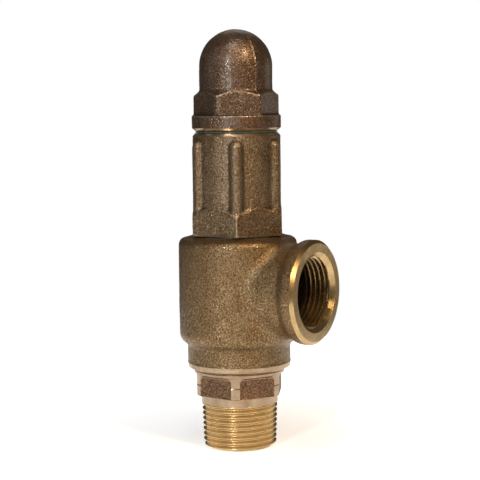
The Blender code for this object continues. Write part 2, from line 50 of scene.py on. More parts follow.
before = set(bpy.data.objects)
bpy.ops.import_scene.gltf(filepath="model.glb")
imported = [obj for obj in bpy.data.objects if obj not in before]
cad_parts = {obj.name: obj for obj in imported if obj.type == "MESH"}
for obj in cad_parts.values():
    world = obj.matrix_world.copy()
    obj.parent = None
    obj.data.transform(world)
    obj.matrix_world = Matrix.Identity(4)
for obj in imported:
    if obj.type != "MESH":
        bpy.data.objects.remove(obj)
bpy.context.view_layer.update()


# Sizes that the frame gives, in millimetres


@cache
def low(node, axis=2):
    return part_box(node)[0][axis] / MM


@cache
def high(node, axis=2):
    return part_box(node)[1][axis] / MM


def span(node):
    return low(node), high(node)


BODY_BOTTOM = low("body")
BODY_TOP = high("body")
BODY_RADIUS = high("body", 1)
OUTLET_FACE = high("body", 0)
OUTLET_HEIGHT = 71.2
SEAT_HEIGHT = high("seat_nozzle")
BONNET_SHANK_BOTTOM = low("bonnet")
CAP_THREAD_TOP = high("bonnet")
CAP_BOTTOM = low("cap")
DOME_TOP = high("cap")

PIPE_PITCH = 25.4 / 11
PIPE_DEPTH = 0.6403 * PIPE_PITCH
PIPE_RADIUS = 33.249 / 2
PIPE_GAUGE = 10.4
PIPE_TAPER = 1 / 32
FINE_PITCH = 1.5
FINE_DEPTH = 0.85

# Edge break on machined pieces, and how far a cutting shape reaches past what it cuts
EDGE = 0.15
CLEAR = 5.0

# Columns round small pieces, round large ones and round machined edges that show
SIDES, BODY_SIDES, EDGE_SIDES = 96, 160, 192

CAST, MACHINED, INSIDE, OUTLET_CUT = SURFACES = range(4)


# Mesh tools

WELD = 1e-6


def clamp(value):
    return min(1.0, max(0.0, value))


def add_object(name, data):
    obj = bpy.data.objects.new(name, data)
    bpy.context.collection.objects.link(obj)
    return obj


def solid_mesh(name, verts, faces):
    """A closed surface whose faces all look outward, with vertices in the same place joined."""
    data = bpy.data.meshes.new(name)
    data.from_pydata(verts, [], faces)
    mesh = bmesh.new()
    mesh.from_mesh(data)
    bmesh.ops.remove_doubles(mesh, verts=mesh.verts, dist=WELD)
    bmesh.ops.recalc_face_normals(mesh, faces=mesh.faces)
    mesh.to_mesh(data)
    mesh.free()
    return data


def even_angles(count, first=0.0):
    return [first + TURN * i / count for i in range(count)]


def revolve(outline_at, angles, material=MACHINED):
    """Solid swept round Z. outline_at(angle) lists (radius, height) points, axis to axis or in a loop."""
    stops = angles + [angles[0] + TURN]
    columns = [outline_at(angle) for angle in stops]
    rows = len(columns[0])
    capped = columns[0][0][0] == 0 and columns[0][-1][0] == 0
    verts = [
        (r * cos(angle) * MM, r * sin(angle) * MM, z * MM)
        for angle, column in zip(stops, columns)
        for r, z in column
    ]
    faces = [
        (i * rows + j, (i + 1) * rows + j, (i + 1) * rows + (j + 1) % rows, i * rows + (j + 1) % rows)
        for i in range(len(angles))
        for j in range(rows - 1 if capped else rows)
    ]
    data = solid_mesh("revolved", verts, faces)
    for _ in SURFACES:
        data.materials.append(None)
    data.polygons.foreach_set("material_index", [material] * len(data.polygons))
    return add_object("revolved", data)


def turned(outline, count=SIDES, material=MACHINED):
    return revolve(lambda angle: outline, even_angles(count), material)


def arc(centre_r, centre_z, radius, first, last, steps):
    """Points of a round stretch of an outline, from one angle to another, in degrees above level."""
    angles = [radians(first + (last - first) * i / steps) for i in range(steps + 1)]
    return [(centre_r + radius * cos(a), centre_z + radius * sin(a)) for a in angles]


def eased(outline, width=0.25):
    """The outline with each corner cut back by a small chamfer, so that machined edges catch the light."""
    capped = outline[0][0] == 0 and outline[-1][0] == 0
    done = []
    for i, here in enumerate(outline):
        if capped and i in (0, len(outline) - 1):
            done.append(here)
            continue
        corner = Vector(here)
        for neighbour in (Vector(outline[i - 1]), Vector(outline[(i + 1) % len(outline)])):
            back = min(width, (neighbour - corner).length / 3)
            done.append(tuple(corner + (neighbour - corner).normalized() * back))
    return done


def side_radius(angle, across_flats, corner=0.0, sides=6):
    """Distance from the axis to a regular polygon's side, which has a corner in the given direction."""
    half_sector = pi / sides
    return across_flats / 2 / cos((angle - corner) % (2 * half_sector) - half_sector)


THREAD_STEPS = [k / 12 for k in range(12)]
THREAD_CREST = 0.12
THREAD_FLANK = 0.76


def thread_drop(phase):
    """Depth of a rounded thread below its crest: 1 in the root, at phase 0, and 0 on the crest, at a half."""
    slope = clamp((abs(2 * phase - 1) - THREAD_CREST) / THREAD_FLANK)
    return 0.5 * slope + 0.5 * slope * slope * (3 - 2 * slope)


def thread_rows(turn, start, end, pitch, crest_at, depth, start_radius, end_radius):
    """Outline of a right-hand thread between two heights, a fraction of a turn round from its start."""
    rows = [(start_radius, start)]
    for k in range(-1, ceil((end - start) / pitch) + 1):
        for phase in THREAD_STEPS:
            z = start + (k + turn + phase) * pitch
            if z <= start:
                rows.append((start_radius, start))
            elif z >= end:
                rows.append((end_radius, end))
            else:
                rows.append((crest_at(z) - depth * thread_drop(phase), z))
    rows.append((end_radius, end))
    return rows


def fine_thread(angle, start, end, crest, ends):
    """Outline of a fine thread that isn't tapered, with the radius that it starts and ends at."""
    return thread_rows(angle / TURN, start, end, FINE_PITCH, lambda z: crest, FINE_DEPTH, ends, ends)


def apply_modifiers(obj):
    graph = bpy.context.evaluated_depsgraph_get()
    data = bpy.data.meshes.new_from_object(obj.evaluated_get(graph))
    obj.modifiers.clear()
    obj.data = data


def combine(obj, tool, operation):
    """Joins a tool to an object or cuts it away from it, and removes the tool."""
    modifier = obj.modifiers.new("combine", "BOOLEAN")
    modifier.operation = operation
    modifier.solver = "MANIFOLD"
    modifier.object = tool
    apply_modifiers(obj)
    bpy.data.objects.remove(tool, do_unlink=True)


def cut(obj, tool):
    combine(obj, tool, "DIFFERENCE")


def cast_skin(obj, voxel, rounds):
    """Evens out a closed solid's mesh and rounds its edges, as a sand casting's are."""
    remesh = obj.modifiers.new("remesh", "REMESH")
    remesh.mode = "VOXEL"
    remesh.voxel_size = voxel * MM
    smooth = obj.modifiers.new("smooth", "SMOOTH")
    smooth.factor = 0.5
    smooth.iterations = rounds
    apply_modifiers(obj)
    for polygon in obj.data.polygons:
        polygon.material_index = CAST


BEND_SMOOTHING_ROUNDS = 4


class Skin:
    """A mesh's vertices in millimetres, with averages over each vertex's neighbours."""

    def __init__(self, obj):
        self.data = obj.data
        self.count = len(self.data.vertices)
        self.places = self.read(self.data.vertices, "co").reshape(-1, 3) / MM
        ends = np.empty(len(self.data.edges) * 2, dtype=np.int32)
        self.data.edges.foreach_get("vertices", ends)
        self.first, self.second = ends.reshape(-1, 2).T
        self.neighbours = np.maximum(1, np.bincount(ends, minlength=self.count))

    @staticmethod
    def read(items, key):
        values = np.empty(len(items) * 3)
        items.foreach_get(key, values)
        return values

    def gather(self, to_first, to_second):
        return np.bincount(self.first, to_first, self.count) + np.bincount(self.second, to_second, self.count)

    def around(self, values):
        return self.gather(values[self.second], values[self.first]) / self.neighbours

    def soften(self, weights, rounds):
        """Smooths the places whose weight is above 0, which turns a sharp crease into a fillet."""
        for _ in range(rounds):
            for axis in range(3):
                values = self.places[:, axis]
                values += (self.around(values) - values) * weights
        self.data.vertices.foreach_set("co", (self.places * MM).ravel())
        self.data.update()

    def mark_wear_and_painted_light(self):
        """Stores how sharply the skin bends, per millimetre: above 0 on an edge, below 0 in a crease. The
        cast finishes use it to lighten edges, as worn metal and painted highlight, and to darken each crease
        as painted shade.
        """
        normals = self.read(self.data.vertex_normals, "vector").reshape(-1, 3)
        lean = sum((self.around(self.places[:, k]) - self.places[:, k]) * normals[:, k] for k in range(3))
        spans = ((self.places[self.first] - self.places[self.second]) ** 2).sum(1)
        bend = -4 * lean * self.neighbours / np.maximum(1e-6, self.gather(spans, spans))
        for _ in range(BEND_SMOOTHING_ROUNDS):
            bend = (bend + self.around(bend)) / 2
        self.data.attributes.new("wear_and_painted_light", "FLOAT", "POINT").data.foreach_set("value", bend.astype(np.float32))


def sink_depth(point, seed):
    """Unevenness of a sand-cast surface in millimetres: always inward, from slow waves to sand grains."""
    waves = noise.noise(point / 7.0 + seed) * 0.1
    lumps = noise.noise(point / 2.2 - seed) * 0.05
    grains = noise.noise(point / 0.8 + 2 * seed) * 0.07
    return max(0.0, 0.1 + waves + lumps + grains)


def roughen(obj, seed, extra=None):
    """Sinks a cast skin unevenly. extra(point) raises it by as many millimetres."""
    Skin(obj).mark_wear_and_painted_light()
    offset = Vector((seed * 13.7, seed * 5.3, seed * 9.1))
    places = []
    for vertex in obj.data.vertices:
        point = vertex.co / MM
        depth = sink_depth(point, offset) - (extra(point) if extra else 0.0)
        places.append(vertex.co - vertex.normal * depth * MM)
    for vertex, place in zip(obj.data.vertices, places):
        vertex.co = place


def along_x(height):
    """Turns a shape made round Z so that its axis is the outlet's."""
    return Matrix.Translation((0, 0, height * MM)) @ Matrix.Rotation(pi / 2, 4, "Y")


# Materials


def socket(shader, name, value):
    shader.inputs[name].default_value = value


class Finish:
    """A material being built: a Principled shader and the nodes that feed it."""

    def __init__(self, name, metallic, roughness):
        self.material = bpy.data.materials.new(name)
        self.material.use_nodes = True
        self.tree = self.material.node_tree
        self.shader = self.tree.nodes["Principled BSDF"]
        socket(self.shader, "Metallic", metallic)
        socket(self.shader, "Roughness", roughness)
        self.place = self.tree.nodes.new("ShaderNodeTexCoord").outputs["Object"]

    def node(self, kind, links=(), **settings):
        made = self.tree.nodes.new("ShaderNode" + kind)
        for key, value in settings.items():
            setattr(made, key, value)
        for key, value in dict(links).items():
            if isinstance(value, bpy.types.NodeSocket):
                self.tree.links.new(value, made.inputs[key])
            else:
                made.inputs[key].default_value = value
        return made

    def noise(self, size, detail=3.0, sharp=0.55, place=None):
        """Noise whose features are about size millimetres across."""
        place = place or self.place
        links = {"Vector": place, "Scale": 1 / (size * MM), "Detail": detail, "Roughness": sharp}
        return self.node("TexNoise", links).outputs["Fac"]

    def spread(self, value, low_in, high_in, low_out=0.0, high_out=1.0):
        links = {"Value": value, "From Min": low_in, "From Max": high_in}
        links.update({"To Min": low_out, "To Max": high_out})
        return self.node("MapRange", links).outputs["Result"]

    def math(self, operation, a, b=0.0):
        return self.node("Math", {0: a, 1: b}, operation=operation).outputs["Value"]

    def mix(self, share, a, b):
        """A blend of two colours, each a socket or three numbers."""
        a, b = (value if isinstance(value, bpy.types.NodeSocket) else (*value, 1.0) for value in (a, b))
        return self.node("Mix", {0: share, 6: a, 7: b}, data_type="RGBA").outputs[2]

    def feed(self, name, value):
        self.tree.links.new(value, self.shader.inputs[name])

    def bump(self, height, depth):
        """Relief of depth millimetres for a height that runs from 0 to 1."""
        made = self.node("Bump", {"Height": height, "Strength": 1.0, "Distance": depth * MM})
        self.feed("Normal", made.outputs["Normal"])


def cast_finish(name, pit, skin, peak, stain, gloss=0.3, coat=0.0):
    """Sand-cast bronze: a grainy skin, dark in its pits, darkened in each crease as painted shade, and
    lightened on its edges as worn metal with a painted highlight.
    """
    made = Finish(name, 0.84, gloss)
    socket(made.shader, "Coat Weight", coat)
    socket(made.shader, "Coat Roughness", 0.27)
    level = made.spread(made.noise(0.64, 2.0), 0.32, 0.68)
    patches = made.spread(made.noise(7.0, 3.0), 0.38, 0.62)
    wear_and_painted_light = made.node("Attribute", attribute_name="wear_and_painted_light").outputs["Fac"]
    uneven = made.spread(made.noise(2.5, 3.0), 0.3, 0.6, 0.35, 1.0)
    # Edges lightened towards the peak colour: partly worn metal, partly a painted highlight.
    edges = made.math("MULTIPLY", made.spread(wear_and_painted_light, 0.35, 1.3), uneven)
    # Painted shade: concave places darkened towards the pit colour.
    crease_shade = made.spread(wear_and_painted_light, -0.12, -0.7)
    body = made.mix(patches, skin, stain)
    grained = made.mix(made.spread(level, 0.0, 0.55, 0.2, 1.0), pit, body)
    lit = made.mix(made.spread(level, 0.6, 1.0, 0.0, 0.45), grained, peak)
    # Worn metal and painted highlight on the edges, mixed towards the peak colour.
    worn_and_highlit = made.mix(edges, lit, peak)
    # Painted shade in each crease, mixed over the base colour.
    made.feed("Base Color", made.mix(made.math("MULTIPLY", crease_shade, 0.6), worn_and_highlit, pit))
    rough = made.spread(level, 0.0, 1.0, gloss + 0.14, gloss - 0.04)
    made.feed("Roughness", made.math("SUBTRACT", rough, made.math("MULTIPLY", edges, 0.06)))
    made.bump(level, 0.12)
    return made.material


def turned_finish(name, colour, dull, roughness, axis="Z", height=0.0, marks=0.012):
    """Machined metal: fine rings that the tool left round the axis, with a little tarnish."""
    made = Finish(name, 1.0, roughness)
    parts = made.node("SeparateXYZ", {"Vector": made.place}).outputs
    along, across, up = (parts["Z"], parts["X"], parts["Y"])
    if axis == "X":
        along, across, up = (parts["X"], parts["Y"], made.math("SUBTRACT", parts["Z"], height * MM))
    radius = made.math("SQRT", made.math("ADD", made.math("POWER", across, 2.0), made.math("POWER", up, 2.0)))
    slant = made.math("MULTIPLY", across, 0.01)
    rings = made.node("CombineXYZ", {"X": radius, "Y": along, "Z": slant}).outputs[0]
    cuts = made.noise(0.22, 2.0, 0.5, rings)
    tarnish = made.spread(made.noise(5.0, 4.0), 0.35, 0.7)
    made.feed("Base Color", made.mix(tarnish, colour, dull))
    level = made.math("ADD", cuts, made.math("MULTIPLY", tarnish, 0.4))
    made.feed("Roughness", made.spread(level, 0.3, 1.1, roughness - 0.07, roughness + 0.12))
    made.bump(cuts, marks)
    return made.material


def plain_metal(name, colour, roughness, grain_size=0.3, depth=0.01):
    """Ground or plated metal with a faint, even grain and light marks."""
    made = Finish(name, 1.0, roughness)
    grain = made.noise(grain_size, 4.0)
    marks = made.spread(made.noise(4.0, 5.0, 0.65), 0.4, 0.75)
    made.feed("Base Color", made.mix(marks, colour, [c * 0.7 for c in colour]))
    level = made.math("ADD", grain, marks)
    made.feed("Roughness", made.spread(level, 0.4, 1.6, roughness - 0.08, roughness + 0.15))
    made.bump(grain, depth)
    return made.material


def sheet_finish(name, colour, fleck, roughness, grain_size):
    """Pressed fibre or plastic sheet: fine flecks and a matt, slightly felted surface."""
    made = Finish(name, 0.0, roughness)
    grain = made.noise(grain_size, 4.0, 0.65)
    made.feed("Base Color", made.mix(made.spread(grain, 0.4, 0.65), colour, fleck))
    made.feed("Roughness", made.spread(grain, 0.3, 0.7, roughness + 0.1, roughness - 0.1))
    made.bump(grain, 0.05)
    return made.material


# Painted shade: cast bronze darkened to near black for the shade inside the body's cavity.
CAVITY_PAINTED_SHADE = cast_finish(
    "cavity_bronze_painted_shade",
    pit=(0.015, 0.01, 0.006),
    skin=(0.05, 0.032, 0.017),
    peak=(0.12, 0.08, 0.045),
    stain=(0.03, 0.019, 0.01),
)
BODY_CAST = cast_finish(
    "body_cast_bronze",
    pit=(0.045, 0.026, 0.011),
    skin=(0.212, 0.137, 0.061),
    peak=(0.58, 0.43, 0.25),
    stain=(0.184, 0.108, 0.046),
    coat=0.12,
)
BONNET_CAST = cast_finish(
    "bonnet_cast_bronze",
    pit=(0.04, 0.025, 0.013),
    skin=(0.2, 0.14, 0.078),
    peak=(0.58, 0.45, 0.3),
    stain=(0.17, 0.104, 0.052),
    coat=0.2,
)
CAP_CAST = cast_finish(
    "cap_cast_bronze",
    pit=(0.03, 0.017, 0.01),
    skin=(0.15, 0.092, 0.058),
    peak=(0.42, 0.31, 0.21),
    stain=(0.125, 0.07, 0.041),
    gloss=0.28,
    coat=0.45,
)
HEX_CAST = cast_finish(
    "nozzle_cast_skin",
    pit=(0.045, 0.022, 0.014),
    skin=(0.19, 0.105, 0.06),
    peak=(0.5, 0.35, 0.22),
    stain=(0.15, 0.082, 0.045),
    gloss=0.36,
)
TURNED_UP = turned_finish("turned_bronze", (0.62, 0.46, 0.3), (0.46, 0.33, 0.2), 0.27)
TURNED_RING = turned_finish("turned_body_ring", (0.46, 0.345, 0.23), (0.35, 0.26, 0.17), 0.27)
OUTLET_COLOURS = (0.54, 0.39, 0.195), (0.36, 0.255, 0.125)
TURNED_OUTLET = turned_finish("turned_outlet", *OUTLET_COLOURS, 0.27, "X", OUTLET_HEIGHT)
TURNED_NOZZLE = turned_finish("turned_nozzle_brass", (0.38, 0.285, 0.19), (0.29, 0.21, 0.135), 0.22)
THREAD_COLOURS = (0.68, 0.51, 0.28), (0.55, 0.41, 0.21)
TURNED_THREAD = turned_finish("turned_inlet_thread", *THREAD_COLOURS, 0.26, marks=0.003)
TURNED_BRASS = turned_finish("turned_brass", (0.85, 0.64, 0.33), (0.66, 0.47, 0.22), 0.25)
STAINLESS = turned_finish("ground_stainless_steel", (0.62, 0.61, 0.59), (0.45, 0.44, 0.43), 0.25)
SPRING_STEEL = plain_metal("spring_steel", (0.32, 0.33, 0.35), 0.35)
ZINC = plain_metal("zinc_plated_steel", (0.66, 0.67, 0.66), 0.38, 0.6, 0.02)
BALL_STEEL = plain_metal("polished_ball_steel", (0.7, 0.7, 0.7), 0.15, 0.5, 0.002)
FIBRE = sheet_finish("pressed_fibre", (0.025, 0.05, 0.046), (0.08, 0.13, 0.12), 0.6, 0.25)
SOFT_SEAT = sheet_finish("soft_seat", (0.8, 0.79, 0.75), (0.72, 0.71, 0.66), 0.45, 0.6)


def add_piece(obj, name, body, materials, node=None):
    """Names a finished piece, which stands for a CAD node and moves with its body."""
    obj.name = name
    obj.data.name = name
    slots = [min(polygon.material_index, len(materials) - 1) for polygon in obj.data.polygons]
    obj.data.materials.clear()
    for material in materials:
        obj.data.materials.append(material)
    obj.data.polygons.foreach_set("material_index", slots)
    obj.data.shade_smooth()
    obj.data.set_sharp_from_angle(angle=radians(32))
    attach(obj, body)
    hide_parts(node or name)
    return obj


# Body

BODY_NECK_RADIUS = 23.1
BODY_NECK_TOP = 46.2
BODY_BOTTOM_RADIUS = 20.4
BODY_RING_RADIUS = 22.9
BODY_RING_TOP = 38.5
BODY_RING_CHAMFER = 1.35
BELLY_ROUND = 5.0
BELLY_BOTTOM = 51.5
SHOULDER = 91.0
SHOULDER_ROUND = 3.2
COLLAR_RADIUS = 21.5
CAVITY_RADIUS = 22.5
CAVITY_FLOOR = 47.0
CAVITY_CEILING = 82.0
MOUTH_RADIUS = 17.5
MOUTH_BOTTOM = 86.8
NOZZLE_SHANK_RADIUS = 17.0
GAP = 0.3
BOSS_RADIUS = 21.0
BOSS_FILLET = 2.6
BOSS_RING_RADIUS = 23.0
BOSS_FLARE_START = 30.1
BOSS_FLARE_END = 35.1
OUTLET_BEVEL = 1.4
OUTLET_RING_RADIUS = 22.85
OUTLET_MOUTH_RADIUS = 17.6
OUTLET_SINK = 1.8
OUTLET_THREAD_DEPTH = 14.0
# How deep the outlet's turned colour reaches; bore faces further in get the cavity's painted shade.
OUTLET_UNSHADED_DEPTH = 12.4
OUTLET_BORE_RADIUS = 14.4
OUTLET_BORE_START = 14.0
BOSS_START = 6.0
GASKET_RECESS_RADIUS = 20.0
GASKET_RECESS_DEPTH = 1.5
BONNET_RECESS_RADIUS = 19.5
BONNET_RECESS_DEPTH = 1.4
SKIN_SPARE = 0.5
FACING_SPARE = 1.5


def body_skin():
    """The body's casting before any cutting: a round barrel with the outlet's boss on its side."""
    skirt = BODY_RING_RADIUS + SKIN_SPARE
    barrel = (
        [(0, BODY_BOTTOM - 2), (skirt, BODY_BOTTOM - 2), (skirt, BODY_RING_TOP - SKIN_SPARE)]
        + [(BODY_NECK_RADIUS, BODY_RING_TOP + 0.3), (BODY_NECK_RADIUS, BODY_NECK_TOP)]
        + arc(BODY_RADIUS - BELLY_ROUND, BELLY_BOTTOM, BELLY_ROUND, -62, 0, 8)
        + arc(BODY_RADIUS - SHOULDER_ROUND, SHOULDER, SHOULDER_ROUND, 0, 80, 8)
        + [(COLLAR_RADIUS + 0.9, BODY_TOP - 0.75), (COLLAR_RADIUS + 0.5, BODY_TOP - 0.95)]
        + [(COLLAR_RADIUS + 0.2, BODY_TOP - 0.3), (COLLAR_RADIUS - 0.5, BODY_TOP), (0, BODY_TOP)]
    )
    growth, length, steps = BOSS_RING_RADIUS - BOSS_RADIUS, BOSS_FLARE_END - BOSS_FLARE_START, 6
    flare = [
        (BOSS_RADIUS + growth * (1 - cos(pi * k / steps)) / 2, BOSS_FLARE_START + length * k / steps)
        for k in range(1, steps + 1)
    ]
    boss = (
        [(0, BOSS_START), (BOSS_RADIUS, BOSS_START), (BOSS_RADIUS, BOSS_FLARE_START)]
        + flare
        + [(BOSS_RING_RADIUS, OUTLET_FACE + FACING_SPARE), (0, OUTLET_FACE + FACING_SPARE)]
    )
    skin = turned(barrel, BODY_SIDES, CAST)
    side = turned(boss, BODY_SIDES, CAST)
    side.matrix_world = along_x(OUTLET_HEIGHT)
    combine(skin, side, "UNION")
    return skin


def soften_boss(body):
    """Rounds the crease between the outlet's boss and the barrel."""
    skin = Skin(body)
    off_body = np.hypot(skin.places[:, 0], skin.places[:, 1]) - BODY_RADIUS
    off_boss = np.hypot(skin.places[:, 1], skin.places[:, 2] - OUTLET_HEIGHT) - BOSS_RADIUS
    skin.soften(np.exp(-(off_body**2 + off_boss**2) / BOSS_FILLET**2), rounds=60)


def body_foot():
    """What the lathe takes off the body's bottom and the ring round it."""
    chamfer_top = BODY_BOTTOM + BODY_RING_CHAMFER
    return [
        (0, BODY_BOTTOM),
        (BODY_BOTTOM_RADIUS - 0.2, BODY_BOTTOM),
        (BODY_BOTTOM_RADIUS, BODY_BOTTOM + EDGE),
        (BODY_RING_RADIUS - EDGE, chamfer_top),
        (BODY_RING_RADIUS, chamfer_top + 0.2),
        (BODY_RING_RADIUS, BODY_RING_TOP),
        (BODY_RING_RADIUS + 4, BODY_RING_TOP),
        (BODY_RING_RADIUS + 4, BODY_BOTTOM - CLEAR),
        (0, BODY_BOTTOM - CLEAR),
    ]


def body_cavity():
    """The room inside the body, with recesses for the two gaskets at its ends."""
    gasket_recess = BODY_BOTTOM + GASKET_RECESS_DEPTH
    bonnet_recess = BODY_TOP - BONNET_RECESS_DEPTH
    return [
        (0, BODY_BOTTOM - CLEAR),
        (GASKET_RECESS_RADIUS, BODY_BOTTOM - CLEAR),
        (GASKET_RECESS_RADIUS, gasket_recess),
        (NOZZLE_SHANK_RADIUS + GAP, gasket_recess),
        (NOZZLE_SHANK_RADIUS + GAP, CAVITY_FLOOR),
        (CAVITY_RADIUS - 3.0, CAVITY_FLOOR),
        (CAVITY_RADIUS - 1.0, CAVITY_FLOOR + 1.2),
        (CAVITY_RADIUS, CAVITY_FLOOR + 4.0),
        (CAVITY_RADIUS, CAVITY_CEILING),
        (MOUTH_RADIUS, MOUTH_BOTTOM),
        (MOUTH_RADIUS, bonnet_recess),
        (BONNET_RECESS_RADIUS, bonnet_recess),
        (BONNET_RECESS_RADIUS, BODY_TOP + CLEAR),
        (0, BODY_TOP + CLEAR),
    ]


def outlet_facing():
    """What the lathe takes off the outlet's end, with a bevel round the face."""
    return [
        (OUTLET_RING_RADIUS - OUTLET_BEVEL, OUTLET_FACE),
        (OUTLET_RING_RADIUS + 1.6, OUTLET_FACE - OUTLET_BEVEL - 1.6),
        (OUTLET_RING_RADIUS + 6, OUTLET_FACE + 4),
        (0, OUTLET_FACE + 4),
        (0, OUTLET_FACE),
    ]


def outlet_crest(x):
    return PIPE_RADIUS - (OUTLET_FACE - x) * PIPE_TAPER


def outlet_bore(angle):
    """The outlet's threaded bore, which opens into the cavity."""
    start, mouth = OUTLET_FACE - OUTLET_THREAD_DEPTH, OUTLET_FACE - OUTLET_SINK
    ends = OUTLET_BORE_RADIUS, outlet_crest(mouth) - PIPE_DEPTH * 0.6
    return (
        [(0, OUTLET_BORE_START), (OUTLET_BORE_RADIUS, OUTLET_BORE_START)]
        + thread_rows(angle / TURN, start, mouth, PIPE_PITCH, outlet_crest, PIPE_DEPTH, *ends)
        + [(OUTLET_MOUTH_RADIUS, OUTLET_FACE), (OUTLET_MOUTH_RADIUS, OUTLET_FACE + CLEAR)]
        + [(0, OUTLET_FACE + CLEAR)]
    )


def make_body():
    body = body_skin()
    cast_skin(body, voxel=0.5, rounds=7)
    soften_boss(body)
    roughen(body, seed=1)
    facing = turned(outlet_facing(), EDGE_SIDES)
    facing.matrix_world = along_x(OUTLET_HEIGHT)
    cut(body, facing)
    cut(body, turned(body_foot(), EDGE_SIDES))
    cut(body, turned(body_cavity(), BODY_SIDES, INSIDE))
    bore = revolve(outlet_bore, even_angles(EDGE_SIDES))
    bore.matrix_world = along_x(OUTLET_HEIGHT)
    cut(body, bore)
    for polygon in body.data.polygons:
        centre = polygon.center / MM
        if polygon.material_index == MACHINED and centre.z > BODY_NECK_TOP:
            polygon.material_index = OUTLET_CUT if centre.x > OUTLET_FACE - OUTLET_UNSHADED_DEPTH else INSIDE
    # The third finish is painted shade: it colours the cavity and the deep bore near black.
    finishes = [BODY_CAST, TURNED_RING, CAVITY_PAINTED_SHADE, TURNED_OUTLET]
    add_piece(body, "body_casting", "valve_body", finishes, "body")


# Seat nozzle

NOZZLE_HEX = 36.5
NOZZLE_TURNED = 20.05
NOZZLE_CORNER = radians(-4.3)
NOZZLE_NECK_RADIUS = 17.1
HEX_BOTTOM = 24.0
PATCH_TOP = 32.95
FLANGE_RADIUS = 20.3
FLANGE_BOTTOM = 33.75
FLANGE_TOP = BODY_BOTTOM - 0.02
FLASH_HEIGHT = 28.8
PORT_RADIUS = 11.5
SEAT_RADIUS = 13.4
INLET_FACE_RADIUS = 14.0
INLET_THREAD_TOP = 20.2
NOZZLE_THREAD_START = 0.7
NOZZLE_THREAD_END_RADIUS = 14.7
NOZZLE_SHANK_TOP = 47.5
SEAT_NECK_BOTTOM = 49.0
FLAT_STEPS, CORNER_STEPS, PATCH_STEPS = 36, 8, 40


def pipe_crest(z):
    """Radius of the male thread's crests, which the lead-in chamfer cuts down near the inlet's end."""
    return min(PIPE_RADIUS + (z - PIPE_GAUGE) * PIPE_TAPER, INLET_FACE_RADIUS + 0.9 + z)


def nozzle_angles():
    """Columns round the hexagon, with one on each line where a cast flat meets a turned corner."""
    edge = acos_ratio(NOZZLE_HEX / 2, NOZZLE_TURNED)
    flat, corner = 2 * edge, 2 * (radians(30) - edge)
    angles = []
    for k in range(6):
        middle = NOZZLE_CORNER + radians(60 * k + 30)
        angles += [middle - edge + flat * i / FLAT_STEPS for i in range(FLAT_STEPS + 1)]
        angles += [middle + edge + corner * i / CORNER_STEPS for i in range(1, CORNER_STEPS)]
    return sorted(angles)


def acos_ratio(short, long):
    return atan2(sqrt(long * long - short * short), short)


def hexagon_edge(angle):
    return min(side_radius(angle, NOZZLE_HEX, NOZZLE_CORNER), NOZZLE_TURNED)


def patch_depth(angle, z):
    """Millimetres from a place on the hexagon to the rim of the nearest cast patch: below 0 outside it."""
    half_width = sqrt(NOZZLE_TURNED**2 - (NOZZLE_HEX / 2) ** 2)
    half_height, corner = (PATCH_TOP - HEX_BOTTOM) / 2 - 0.1, 1.3
    offset = (angle - NOZZLE_CORNER) % radians(60) - radians(30)
    aside = abs(NOZZLE_HEX / 2 * tan(offset)) - half_width + corner
    above = abs(z - (PATCH_TOP + HEX_BOTTOM) / 2) - half_height + corner
    return corner - hypot(max(aside, 0), max(above, 0)) - min(max(aside, above), 0)


def hex_surface(angle, z):
    """Radius of the nozzle's hexagon: turned corners with a thin line of flash, and rough cast flats."""
    border = clamp(patch_depth(angle, z) / 0.5)
    point = Vector((18 * cos(angle), 18 * sin(angle), z))
    sink = border * (0.22 + noise.noise(point / 0.9) * 0.12 + noise.noise(point / 3.0) * 0.08)
    flash = (1 - border) * 0.14 * exp(-(((z - FLASH_HEIGHT) / 0.2) ** 2))
    return hexagon_edge(angle) - sink + flash


def nozzle_outline(angle):
    turn, edge = (angle - NOZZLE_CORNER) / TURN, hexagon_edge(angle)
    corner = (edge - NOZZLE_HEX / 2) / (NOZZLE_TURNED - NOZZLE_HEX / 2)
    first = HEX_BOTTOM + 0.3
    heights = [first + (PATCH_TOP - first) * i / PATCH_STEPS for i in range(PATCH_STEPS + 1)]
    ends = NOZZLE_THREAD_END_RADIUS, NOZZLE_NECK_RADIUS
    return (
        [(PORT_RADIUS, 0.6), (PORT_RADIUS + 0.4, 0), (INLET_FACE_RADIUS, 0)]
        + thread_rows(turn, NOZZLE_THREAD_START, INLET_THREAD_TOP, PIPE_PITCH, pipe_crest, PIPE_DEPTH, *ends)
        + [(NOZZLE_NECK_RADIUS, HEX_BOTTOM), (edge - 0.4, HEX_BOTTOM)]
        + [(hex_surface(angle, z), z) for z in heights]
        + [
            (edge + 0.3 * (1 - corner), PATCH_TOP + 0.05),
            (FLANGE_RADIUS - EDGE, FLANGE_BOTTOM),
            (FLANGE_RADIUS, FLANGE_BOTTOM + 0.2),
            (FLANGE_RADIUS, FLANGE_TOP - EDGE),
            (FLANGE_RADIUS - EDGE, FLANGE_TOP),
            (NOZZLE_SHANK_RADIUS, FLANGE_TOP),
            (NOZZLE_SHANK_RADIUS, NOZZLE_SHANK_TOP),
            (SEAT_RADIUS, SEAT_NECK_BOTTOM),
            (SEAT_RADIUS, SEAT_HEIGHT - 0.5),
            (SEAT_RADIUS - 0.5, SEAT_HEIGHT),
            (PORT_RADIUS + 0.4, SEAT_HEIGHT),
            (PORT_RADIUS, SEAT_HEIGHT - 0.5),
        ]
    )


def make_gasket(node, body, hole):
    bottom, top, edge = low(node), high(node), high(node, 1)
    ring = turned(eased([(hole, bottom), (edge, bottom), (edge, top), (hole, top)], 0.12), BODY_SIDES)
    add_piece(ring, f"{node}_ring", body, [FIBRE], node)


